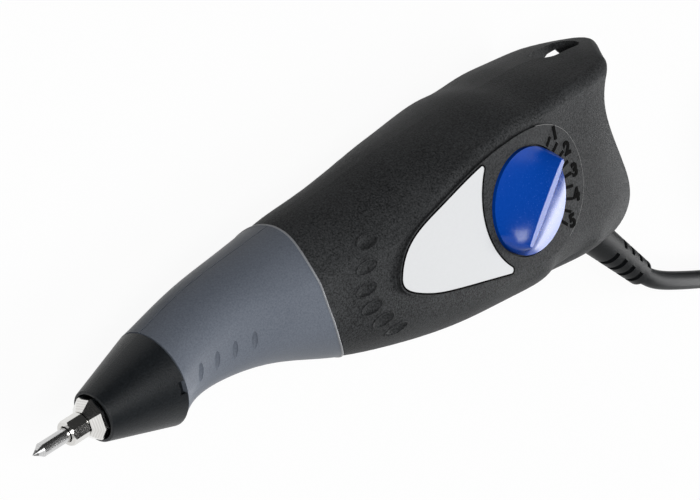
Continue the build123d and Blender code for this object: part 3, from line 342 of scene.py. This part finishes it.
def moulded(name, dark, light, rough, grain, depth, specular=0.25):
    """Moulded plastic or rubber: two shades, roughness, grains to a metre, their depth."""
    material, wire = new_finish(name)
    spot = wire.node("ShaderNodeTexCoord", out="Object")
    coarse = noise(wire, spot, grain)
    fine = noise(wire, spot, grain * FINE_RATIO, detail=1.0)
    cloud = noise(wire, spot, CLOUD_SCALE, detail=3.0)
    height = coarse * COARSE_SHARE + fine * (1 - COARSE_SHARE)
    tone = (height * GRAIN_SHARE + cloud * (1 - GRAIN_SHARE)).stretch(*TONE_RANGE)
    surface(
        wire, Base_Color=tone.mix(dark, light),
        Roughness=tone * PLASTIC_SPREAD + (rough - PLASTIC_SPREAD / 2),
        Specular_IOR_Level=specular, Normal=bumped(wire, height, PIT_BUMP, depth))
    return material


def dress(material, *names):
    """Give CAD nodes a finish."""
    for name in names:
        for slot in nodes[name].material_slots:
            slot.material = material


print("plastic recipe ready")

# %% Plastics
housing_black = moulded(
    "housing_black", shade(0.010, 1.08), shade(0.070, 1.08),
    rough=0.50, grain=2200.0, depth=0.26 * MM, specular=0.045)
cone_black = moulded(
    "cone_black", shade(0.005, 1.5), shade(0.012, 1.5),
    rough=0.40, grain=2800.0, depth=0.14 * MM, specular=0.26)
grip_grey = moulded(
    "grip_grey", (0.125, 0.143, 0.178, 1), (0.180, 0.202, 0.242, 1),
    rough=0.40, grain=2600.0, depth=0.10 * MM, specular=0.14)
rubber = moulded(
    "rubber", shade(0.006, 1.2), shade(0.016, 1.2),
    rough=0.42, grain=2600.0, depth=0.04 * MM, specular=0.08)
bobbin_plastic = moulded(
    "bobbin_plastic", shade(0.08), shade(0.12), rough=0.5, grain=1500.0, depth=0.03 * MM)
white_plastic = moulded(
    "white_plastic", shade(0.74, 0.96), shade(0.80, 0.97),
    rough=0.45, grain=1500.0, depth=0.03 * MM)
felt = moulded(
    "felt", shade(0.16), shade(0.30), rough=0.9, grain=1200.0, depth=0.2 * MM, specular=0.1)
dial_blue = moulded(
    "dial_blue", (0.001, 0.060, 0.42, 1), (0.001, 0.070, 0.47, 1),
    rough=0.22, grain=1900.0, depth=0.01 * MM, specular=0.36)
label_white = moulded(
    "label_white", shade(0.79, 1.03), shade(0.81, 1.03),
    rough=0.40, grain=900.0, depth=0.01 * MM, specular=0.08)

dress(housing_black, "left_housing", "right_housing", "switch_slider", "switch_body")
dress(cone_black, "nose_cone")
dress(grip_grey, "left_grip", "right_grip")
dress(rubber, "strain_relief", "front_buffer", "plug_body")
dress(bobbin_plastic, "coil_bobbin", "cord_clamp")
dress(white_plastic, "stroke_slide", "dial_washer")
dress(felt, "nose_seal")
dress(dial_blue, "stroke_dial")
dress(label_white, "label_plate")
print("plastics ready")

# %% [markdown]
# ## Metals
# The chuck and its nut are bright nickel plate over turned steel, so fine rings run round the
# drive axis. Rings could be cut into a mesh. Here they are the waves of a sine along X, which is
# that axis, because so fine a mark needs no faces. The parts inside are ground steel, dark
# laminations, sintered bronze and enamelled copper wire.

# %% Metal recipe
UNEVEN_SCALE = 350.0
RING_WANDER = 3.0
RING_SHARE = 0.4
WEAR_RANGE = (0.3, 0.75)
RING_BUMP = 0.15
METAL_SPREAD = 0.10


def metal(name, bright, dark, rough, pitch, depth):
    """Turned metal: two shades, its roughness, the pitch of its rings and their depth."""
    material, wire = new_finish(name)
    spot = wire.node("ShaderNodeTexCoord", out="Object")
    along = wire.node("ShaderNodeSeparateXYZ", {}, {"Vector": spot}, out="X")
    uneven = noise(wire, spot, UNEVEN_SCALE)
    ring = along * (TURN / pitch) + uneven * RING_WANDER
    wave = wire.math("SINE", ring) * 0.5 + 0.5
    wear = (wave * RING_SHARE + uneven * (1 - RING_SHARE)).stretch(*WEAR_RANGE)
    surface(
        wire, Base_Color=wear.mix(dark, bright),
        Roughness=uneven * METAL_SPREAD + (rough - METAL_SPREAD / 2),
        Metallic=1.0, Normal=bumped(wire, wave, RING_BUMP, depth))
    return material


print("metal recipe ready")

# %% Metals
nickel = metal(
    "nickel", (0.78, 0.77, 0.75, 1), (0.66, 0.65, 0.63, 1),
    rough=0.12, pitch=0.4 * MM, depth=0.003 * MM)
steel = metal(
    "steel", shade(0.66), shade(0.54), rough=0.20, pitch=0.4 * MM, depth=0.004 * MM)
dark_steel = metal(
    "dark_steel", shade(0.30), shade(0.20), rough=0.38, pitch=0.5 * MM, depth=0.01 * MM)
bronze = metal(
    "bronze", (0.56, 0.37, 0.17, 1), (0.40, 0.25, 0.11, 1),
    rough=0.42, pitch=0.4 * MM, depth=0.01 * MM)
copper = metal(
    "copper", (0.62, 0.24, 0.09, 1), (0.40, 0.13, 0.05, 1),
    rough=0.30, pitch=0.4 * MM, depth=0.1 * MM)

dress(nickel, "collet_nut", "chuck_body", "plug_pins")
dress(steel, "engraving_tip", "collet", "drive_shaft", "stop_collar", "armature")
dress(steel, "spring_cup", "dial_spindle")
dress(dark_steel, "carbide_point", "field_core", "pole_piece", "spindle_clip", "clamp_screws")
dress(bronze, "front_bush", "rear_bush")
dress(copper, "coil_winding")
print("metals ready")

# %% [markdown]
# ## Scale round the dial
# Five numbers and nine short lines stand beside the knob. On the tool they are engraved, and
# their near-black colour here paints the shade in those grooves. They could be painted in a
# picture, but as meshes they stay sharp when the camera comes close. The numbers are text made
# into meshes. The lines are one bar repeated along an arc by a Geometry Nodes tree, whose inputs
# are the count, the radius, the angles and the bar's size.

# %% Geometry Nodes helpers
KINDS = {int: "NodeSocketInt", float: "NodeSocketFloat"}


def new_tree(name, sizes):
    """A geometry tree with inputs for these sizes and a material, and their wires."""
    tree = bpy.data.node_groups.new(name, "GeometryNodeTree")
    kinds = {"Geometry": "NodeSocketGeometry", "Material": "NodeSocketMaterial"}
    kinds.update({label: KINDS[type(size)] for label, size in sizes.items()})
    for label, kind in kinds.items():
        tree.interface.new_socket(label, in_out="INPUT", socket_type=kind)
    tree.interface.new_socket("Geometry", in_out="OUTPUT", socket_type="NodeSocketGeometry")
    wire = Wire(tree)
    start = wire.node("NodeGroupInput").socket.node
    return wire, {socket.name: Wire(tree, socket) for socket in start.outputs if socket.name}


def end_tree(wire, shape, material):
    """Realize the instances, give them their material and join them to the output."""
    solid = wire.node("GeometryNodeRealizeInstances", {}, {"Geometry": shape})
    dressed = wire.node(
        "GeometryNodeSetMaterial", {}, {"Geometry": solid, "Material": material})
    wire.node("NodeGroupOutput", {}, {"Geometry": dressed})


def grown(name, start, tree, sizes, material):
    """Mesh that a tree makes from a start mesh with these sizes and this material."""
    holder = show(name, start)
    modifier = holder.modifiers.new(name, "NODES")
    modifier.node_group = tree
    values = {**sizes, "Material": material}
    for item in tree.interface.items_tree:
        if item.in_out == "INPUT" and item.name in values:
            modifier[item.identifier] = values[item.name]
    return frozen(holder)


def place(name, mesh, smooth=False, body="housing"):
    """A finished mesh as a piece of a body."""
    piece = show(name, mesh)
    for face in mesh.polygons:
        face.use_smooth = smooth
    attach(piece, body)
    return piece


print("Geometry Nodes helpers ready")

# %% Dial lines
DIAL = Vector((*joints["dial_turn"]["pos_m"][:2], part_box("label_plate")[1].z))
LINES = {
    "Count": 9, "Radius": 15.25 * MM, "First": math.radians(46), "Step": math.radians(-11.4),
    "Length": 2.5 * MM, "Width": 0.75 * MM, "Height": 0.30 * MM,
}
# Near-black: painted shade of the engraved marks and of the gap round the label
groove_shade = moulded(
    "groove_shade", shade(0.001), shade(0.003), rough=0.7, grain=2400.0, depth=0.04 * MM, specular=0.02)
wire, given = new_tree("dial_lines", LINES)
turn = wire.node("GeometryNodeInputIndex") * given["Step"] + given["First"]
spot = wire.node("ShaderNodeCombineXYZ", {}, {
    "X": wire.math("COSINE", turn) * given["Radius"],
    "Y": wire.math("SINE", turn) * given["Radius"]})
row = wire.node("GeometryNodePoints", {}, {"Count": given["Count"], "Position": spot})
size = wire.node("ShaderNodeCombineXYZ", {}, {
    "X": given["Length"], "Y": given["Width"], "Z": given["Height"]})
bar = wire.node("GeometryNodeMeshCube", {}, {"Size": size})
aim = wire.node("ShaderNodeCombineXYZ", {}, {"Z": turn})
bars = wire.node("GeometryNodeInstanceOnPoints", {}, {
    "Points": row, "Instance": bar, "Rotation": aim})
end_tree(wire, bars, given["Material"])
lines = grown("dial_lines", bpy.data.meshes.new("start"), wire.tree, LINES, groove_shade)
lines.transform(Matrix.Translation(DIAL))
place("dial_lines", lines)
print("dial lines of", len(lines.polygons), "faces")

# %% Dial numbers
NUMBERS = "12345"
NUMBER_R = 17.9 * MM
NUMBER_FIRST = math.radians(42)
NUMBER_STEP = math.radians(-20.6)
NUMBER_SIZE = 4.6 * MM
NUMBER_RISE = 0.15 * MM
NUMBER_BOLD = 0.24 * MM
numbers = bmesh.new()
for index, number in enumerate(NUMBERS):
    text = bpy.data.curves.new("number", "FONT")
    text.body = number
    text.size = NUMBER_SIZE
    text.extrude = NUMBER_RISE
    text.offset = NUMBER_BOLD
    text.align_x = "CENTER"
    text.align_y = "CENTER"
    flat = frozen(show("number", text))
    angle = NUMBER_FIRST + index * NUMBER_STEP
    way = Vector((math.cos(angle), math.sin(angle), 0))
    flat.transform(Matrix.Translation(DIAL + way * NUMBER_R))
    numbers.from_mesh(flat)
number_mesh = bpy.data.meshes.new("dial_numbers")
numbers.to_mesh(number_mesh)
numbers.free()
number_mesh.materials.append(groove_shade)
place("dial_numbers", number_mesh)
print("dial numbers of", len(number_mesh.polygons), "faces")

# %% [markdown]
# ## Rims and lip
# The mould leaves a fine raised rim round each finger dimple, and the grip ends in a rounded lip
# along its S-shaped rear edge. The CAD pieces stay as they are, so both are thin round beads laid
# on their skin. The lip's bead is a lighter grey than the grip, which paints the highlight that
# its rounded edge catches. Rays find the points: straight down on the housing for the rims, and
# in towards the drive axis for the lip.

# %% Beads
RAY = 50 * MM
HALVINGS = 16


def skin_of(name):
    """The surface of a CAD node, ready for rays."""
    return BVHTree.FromObject(nodes[name], bpy.context.evaluated_depsgraph_get())


def last_place(inside, outside, holds):
    """The last place on the way out at which a test still holds, by halving the gap."""
    for _ in range(HALVINGS):
        middle = (inside + outside) / 2
        inside, outside = (middle, outside) if holds(middle) else (inside, middle)
    return inside


def bead(name, loops, radius, material, closed=True):
    """Mesh of round beads along loops or open lines of points."""
    line = bpy.data.curves.new(name, "CURVE")
    line.dimensions = "3D"
    line.bevel_depth = radius
    line.bevel_resolution = 2
    line.use_fill_caps = not closed
    for loop in loops:
        spline = line.splines.new("POLY")
        spline.points.add(len(loop) - 1)
        for spot, point in zip(spline.points, loop):
            spot.co = (*point, 1.0)
        spline.use_cyclic_u = closed
    made = frozen(show(name, line))
    made.materials.append(material)
    return made


print("bead helpers ready")

# %% Rims
RIM_SPOTS = [(91.2, 9.3), (88.1, 4.4), (86.6, -0.6), (86.9, -5.3), (89.6, -9.8), (93.9, -14.4)]
RIM_HALF_X = 3.1 * MM
RIM_HALF_Y = 1.5 * MM
RIM_R = 0.2 * MM
RIM_POINTS = 40
side_skin = skin_of("left_housing")
rims = []
for x, y in RIM_SPOTS:
    loop = []
    for step in range(RIM_POINTS):
        angle = TURN * step / RIM_POINTS
        start = Vector((
            x * MM + RIM_HALF_X * math.cos(angle), y * MM + RIM_HALF_Y * math.sin(angle), RAY))
        loop.append(side_skin.ray_cast(start, DOWN)[0])
    rims.append(loop)
rim_mesh = bead("dimple_rims", rims, RIM_R, housing_black)
place("dimple_rims", rim_mesh, smooth=True)
print("rims of", len(rim_mesh.polygons), "faces")

# %% Lip
LIP_R = 0.3 * MM
LIP_SINK = 0.4 * LIP_R
LIP_IN = 0.2 * MM
LIP_POINTS = 120
LIP_RANGE = (60 * MM, 100 * MM)
# Lighter grey than the grip: painted highlight on the lip's rounded edge
lip_highlight = moulded(
    "lip_highlight", (0.24, 0.25, 0.27, 1), (0.32, 0.33, 0.35, 1),
    rough=0.34, grain=2600.0, depth=0.04 * MM, specular=0.35)
grips = {1: skin_of("left_grip"), -1: skin_of("right_grip")}


def lip_point(angle):
    """The grip's outer rear edge at an angle round the drive axis."""
    way = Vector((0, math.cos(angle), math.sin(angle)))
    grip = grips[1 if way.z > 0 else -1]

    def hit(along):
        return grip.ray_cast(Vector((along, 0, 0)) + way * RAY, -way, RAY)[0]

    return hit(last_place(*LIP_RANGE, hit) - LIP_IN) - way * LIP_SINK


lip = [lip_point(TURN * (step + 0.5) / LIP_POINTS) for step in range(LIP_POINTS)]
lip_mesh = bead("grip_lip", [lip], LIP_R, lip_highlight)
place("grip_lip", lip_mesh, smooth=True)
print("lip of", len(lip_mesh.polygons), "faces")

# %% [markdown]
# ## Edge of the field
# The raised field behind the dial ends in a rounded edge that catches the light. A mask in the
# housing's material could paint that highlight. A thin bead was chosen, because it catches the
# light as a rounded edge does, and its lighter grey is painted highlight. The edge is where rays
# straight down on the housing stop meeting the field's flat top.

# %% Field edge
EDGE_R = 0.2 * MM
EDGE_POINTS = 50
EDGE_FIRST = math.radians(66)
EDGE_LAST = math.radians(-52)
EDGE_RANGE = (16 * MM, 26 * MM)
EDGE_DROP = 0.1 * MM
# Lighter grey than the housing: painted highlight on the field's rounded edge
edge_highlight = moulded(
    "edge_highlight_black", shade(0.20), shade(0.28),
    rough=0.5, grain=2200.0, depth=0.04 * MM, specular=0.05)


def edge_point(angle):
    """The edge of the field's top in a direction from the dial."""
    way = Vector((math.cos(angle), math.sin(angle), 0))

    def on_top(out):
        height = side_skin.ray_cast(DIAL + way * out - DOWN * RAY, DOWN)[0].z
        return height > DIAL.z - EDGE_DROP

    return DIAL + way * last_place(*EDGE_RANGE, on_top) + DOWN * EDGE_R


edge_step = (EDGE_LAST - EDGE_FIRST) / (EDGE_POINTS - 1)
edge = [edge_point(EDGE_FIRST + edge_step * step) for step in range(EDGE_POINTS)]
edge_mesh = bead("field_edge", [edge], EDGE_R, edge_highlight, closed=False)
place("field_edge", edge_mesh, smooth=True)
print("field edge of", len(edge_mesh.polygons), "faces")

# %% [markdown]
# ## Line round the label
# A fine black line paints the shade in the gap where the label's plate meets its recess. The
# outline could be drawn again from its sizes. It is read from the CAD mesh instead, as the edges
# that bound the top face, so that the bead on it always fits the plate.

# %% Label line
LINE_R = 0.22 * MM
WELD = 0.001 * MM
FACES_UP = 0.9
plate = bmesh.new()
plate.from_mesh(nodes["label_plate"].data)
bmesh.ops.remove_doubles(plate, verts=plate.verts, dist=WELD)
top = {face for face in plate.faces if face.normal.z > FACES_UP}
rest = [side for side in plate.edges if len(top.intersection(side.link_faces)) == 1]
outline = [rest[0].verts[0]]
while rest:
    step = next(side for side in rest if outline[-1] in side.verts)
    rest.remove(step)
    outline.append(step.other_vert(outline[-1]))
loop = [corner.co.copy() for corner in outline[:-1]]
plate.free()
# Near-black bead: painted shade in the gap round the plate
label_gap_shade = bead("label_gap_shade", [loop], LINE_R, groove_shade)
place("label_gap_shade", label_gap_shade, smooth=True)
print("label line of", len(label_gap_shade.polygons), "faces")

# %% [markdown]
# ## Screws
# Five screws close the housing from the side the tool lies on. Each could be modelled by
# itself. Since they are all alike, a Geometry Nodes tree makes one, a shank and a head with a
# crossed recess, and sets it on the five seats.

# %% Screw tree
ROD_SIDES = 32
SCREW = {
    "Head": 2.6 * MM, "Rise": 2.2 * MM, "Shank": 1.5 * MM, "Reach": 18.0 * MM,
    "Recess": 3.0 * MM, "Blade": 0.7 * MM, "Sink": 1.3 * MM,
}
wire, given = new_tree("screw_set", SCREW)


def lifted(shape, height):
    """A shape of the screw moved up to a height."""
    lift = wire.node("ShaderNodeCombineXYZ", {}, {"Z": height})
    return wire.node("GeometryNodeTransform", {}, {"Geometry": shape, "Translation": lift})


def rod(radius, depth, middle):
    """Upright rod of the screw, its middle at a height."""
    shape = wire.node("GeometryNodeMeshCylinder", {}, {
        "Vertices": ROD_SIDES, "Radius": radius, "Depth": depth})
    return lifted(shape, middle)


def blade(length, width):
    """Bar of the crossed recess, sunk in the head's face."""
    size = wire.node("ShaderNodeCombineXYZ", {}, {
        "X": length, "Y": width, "Z": given["Sink"] * 2})
    return lifted(wire.node("GeometryNodeMeshCube", {}, {"Size": size}), given["Rise"] * -1)


head = rod(given["Head"], given["Rise"], given["Rise"] * -0.5)
for length, width in (("Recess", "Blade"), ("Blade", "Recess")):
    cut = {"Mesh 1": head, "Mesh 2": blade(given[length], given[width])}
    head = wire.node("GeometryNodeMeshBoolean", {"operation": "DIFFERENCE"}, cut)
screw = wire.node("GeometryNodeJoinGeometry", {}, {"Geometry": head})
shank = rod(given["Shank"], given["Reach"], given["Reach"] * 0.5)
wire.tree.links.new(shank.socket, screw.socket.node.inputs["Geometry"])
set_in = wire.node("GeometryNodeInstanceOnPoints", {}, {
    "Points": given["Geometry"], "Instance": screw})
end_tree(wire, set_in, given["Material"])
print("screw tree of", len(wire.tree.nodes), "nodes")

# %% Screws
SEAT = -9.0 * MM
SCREW_SPOTS = [(89.5, -15.2), (118.0, -20.5), (127.5, 13.6), (166.5, 10.0), (156.0, -26.5)]
seats = bpy.data.meshes.new("seats")
seats.from_pydata([(x * MM, y * MM, SEAT) for x, y in SCREW_SPOTS], [], [])
screw_mesh = grown("screws", seats, wire.tree, SCREW, dark_steel)
screws = place("screws", screw_mesh)
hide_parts("housing_screws")
print("screws of", len(screw_mesh.polygons), "faces")

# %% [markdown]
# ## Return spring
# A spiral of round wire pushes the shaft forward from its seat. When the point is pressed back
# the spring shortens, which a rigid piece can't do. Here it is a spiral from a Geometry Nodes
# tree that rides on the shaft.

# %% Spring
spring_low, spring_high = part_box("return_spring")
WIRE_R = 0.45 * MM
WIRE_SIDES = 12
POINTS_A_SPRING_TURN = 32
SPRING_LENGTH = spring_high.x - spring_low.x
SPRING = {
    "Turns": 4.5, "Coil radius": spring_high.y - WIRE_R,
    "Height": SPRING_LENGTH - 2 * WIRE_R, "Wire radius": WIRE_R,
}
wire, given = new_tree("spring", SPRING)
spiral = wire.node("GeometryNodeCurveSpiral", {}, {
    "Resolution": POINTS_A_SPRING_TURN, "Rotations": given["Turns"], "Height": given["Height"],
    "Start Radius": given["Coil radius"], "End Radius": given["Coil radius"]})
section = wire.node("GeometryNodeCurvePrimitiveCircle", {}, {
    "Resolution": WIRE_SIDES, "Radius": given["Wire radius"]})
wound = wire.node("GeometryNodeCurveToMesh", {}, {
    "Curve": spiral, "Profile Curve": section, "Fill Caps": True})
end_tree(wire, wound, given["Material"])
spring_mesh = grown("spring", bpy.data.meshes.new("start"), wire.tree, SPRING, steel)
front = Vector((spring_low.x, 0, 0))
along_drive = Matrix.Rotation(math.radians(90), 4, "Y")
spring_mesh.transform(Matrix.Translation(front + Vector((WIRE_R, 0, 0))) @ along_drive)
spring = place("spring", spring_mesh, smooth=True, body="carriage")
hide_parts("return_spring")
stroke = joints["stroke"]["range_m"][1]
1 - stroke / SPRING_LENGTH
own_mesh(spring)
print("spring of", len(spring_mesh.polygons), "faces, shortened by", round(stroke / MM, 2), "mm")

# %% [markdown]
# ## Lead
# The lead is a 5.2 mm rubber cable, 1.5 m long. It runs straight out of its relief, bends down
# to the floor, and what is left lies in a coil of eight turns beside it, held by a band. Runs
# and arcs could make it, but they look like bent wire. So the route's points are the control
# points of one NURBS spline. The coil's turns are more points: each keeps its place in the
# bundle and steps over to the next place in a long easy slant.

# %% Coil
LEAD_R = 2.6 * MM
COIL_CENTRE = Vector((0.298, -0.0585, 0))
COIL_R = 30 * MM
SPACING = 5.8 * MM
ROW = SPACING * math.sin(math.pi / 3)
LIFT = 0.9 * MM
# Places in the bundle in the order they fill: steps out from the middle, and row
BUNDLE = [(0.5, 0), (-0.5, 0), (0, 1), (-1, 1), (-0.5, 2), (0, 3), (0.5, 2), (1, 1)]
FIRST_STEP = math.radians(300)
STEP_SHARE = 0.26


def strand(out, row):
    """Radius and height of a place in the bundle."""
    return Vector((COIL_R + out * SPACING, FLOOR + LIFT + LEAD_R + row * ROW))


def bundle_place(angle):
    """Radius and height of the lead at an angle counted along the whole coil."""
    turns = (angle - FIRST_STEP) / TURN
    step = min(max(round(turns), 0), len(BUNDLE) - 2)
    ease = min(max((turns - step) / STEP_SHARE + 0.5, 0.0), 1.0)
    smooth = ease * ease * (3 - 2 * ease)
    return strand(*BUNDLE[step]).lerp(strand(*BUNDLE[step + 1]), smooth)


print("coil of", len(BUNDLE), "places")

# %% Lead route
EXIT = Vector((0.182, -0.0322, 0))
EXIT_ANGLE = math.radians(-49)
EXIT_RUN = (-13.0, 24.0, 29.5)
ROUTE = [
    (206.5, -58.4, -0.3), (216.4, -63.4, -1.3), (234.0, -71.6, -4.0), (256.0, -80.6, -9.0),
    (275.3, -87.0, -13.8),
]
ENTRY = math.radians(-99)
LEAVE = 7 * TURN
POINTS_A_TURN = 24
PLUG_RUN = (19.0, 10.0, -3.0)
PLUG_HEIGHT = 6.5 * MM

exit_way = Vector((math.cos(EXIT_ANGLE), math.sin(EXIT_ANGLE), 0))
points = [EXIT + exit_way * along * MM for along in EXIT_RUN]
points += [Vector(spot) * MM for spot in ROUTE]
steps = round((LEAVE - ENTRY) / TURN * POINTS_A_TURN)
for step in range(steps + 1):
    angle = ENTRY + (LEAVE - ENTRY) * step / steps
    radius, height = bundle_place(angle)
    # A spline runs inside its control points, so these stand out by as much
    radius /= math.cos(math.pi / POINTS_A_TURN)
    way = Vector((radius * math.cos(angle), radius * math.sin(angle), height))
    points.append(COIL_CENTRE + way)
plug_low, plug_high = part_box("plug_body")
plug_x = (plug_low.x + plug_high.x) / 2
points += [Vector((plug_x, plug_low.y - before * MM, FLOOR + PLUG_HEIGHT)) for before in PLUG_RUN]
print("route of", len(points), "points")

# %% Lead
line = bpy.data.curves.new("lead", "CURVE")
line.dimensions = "3D"
line.bevel_depth = LEAD_R
line.bevel_resolution = 5
line.resolution_u = 6
line.use_fill_caps = True
spline = line.splines.new("NURBS")
spline.points.add(len(points) - 1)
for spot, point in zip(spline.points, points):
    spot.co = (*point, 1.0)
spline.order_u = 3
spline.use_endpoint_u = True
lead = show("lead", line)
line.materials.append(rubber)
print("lead of", round(spline.calc_length(), 3), "m")

# %% [markdown]
# ## Band round the coil
# A flat rubber band holds the turns. A plain ring would stand off them in places. So its section
# follows the eight strands where it sits: the outline of circles round their centres, pushed
# out by the band's thickness and swept about eleven degrees round the coil.

# %% Band
BAND_ANGLE = math.radians(155.7)
BAND_WIDTH = 6 * MM
BAND_CORNERS = 96
# The band's section: share of half its width, and height above the strands in millimetres
BAND_SECTION = [(-1, 0.02), (-1, 0.4), (-0.85, 0.8), (0.85, 0.8), (1, 0.4), (1, 0.02)]


def band_ring(angle, margin):
    """Outline of the strands on the half plane at an angle, pushed out by a margin."""
    ring = []
    for corner in range(BAND_CORNERS):
        turn = TURN * corner / BAND_CORNERS
        way = Vector((math.cos(turn), math.sin(turn)))
        far = max((strand(*spot) for spot in BUNDLE), key=way.dot) + way * (LEAD_R + margin)
        out = Vector((math.cos(angle) * far.x, math.sin(angle) * far.x, far.y))
        ring.append(COIL_CENTRE + out)
    return ring


rings = [
    band_ring(BAND_ANGLE + share * BAND_WIDTH / COIL_R / 2, margin * MM)
    for share, margin in BAND_SECTION]
shell = bmesh.new()
grid = [[shell.verts.new(corner) for corner in ring] for ring in rings]
for ring, after in zip(grid, grid[1:] + grid[:1]):
    for corner in range(BAND_CORNERS):
        beside = (corner + 1) % BAND_CORNERS
        shell.faces.new((ring[corner], ring[beside], after[beside], after[corner]))
bmesh.ops.recalc_face_normals(shell, faces=shell.faces)
band_mesh = bpy.data.meshes.new("band")
shell.to_mesh(band_mesh)
shell.free()
band_mesh.materials.append(rubber)
band = place("band", band_mesh, smooth=True)
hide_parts("cord_tie")
print("band of", len(band_mesh.polygons), "faces")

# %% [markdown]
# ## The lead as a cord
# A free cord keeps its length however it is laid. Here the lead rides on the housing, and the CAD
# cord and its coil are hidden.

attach(lead, "housing")
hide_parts("power_cord", "cord_coil")

# %% [markdown]
# ## Finish
# The Standard view shows colours about as they are written. The visual model keeps the size of
# the CAD model.

# %% Finish
bpy.context.scene.view_settings.view_transform = "Standard"
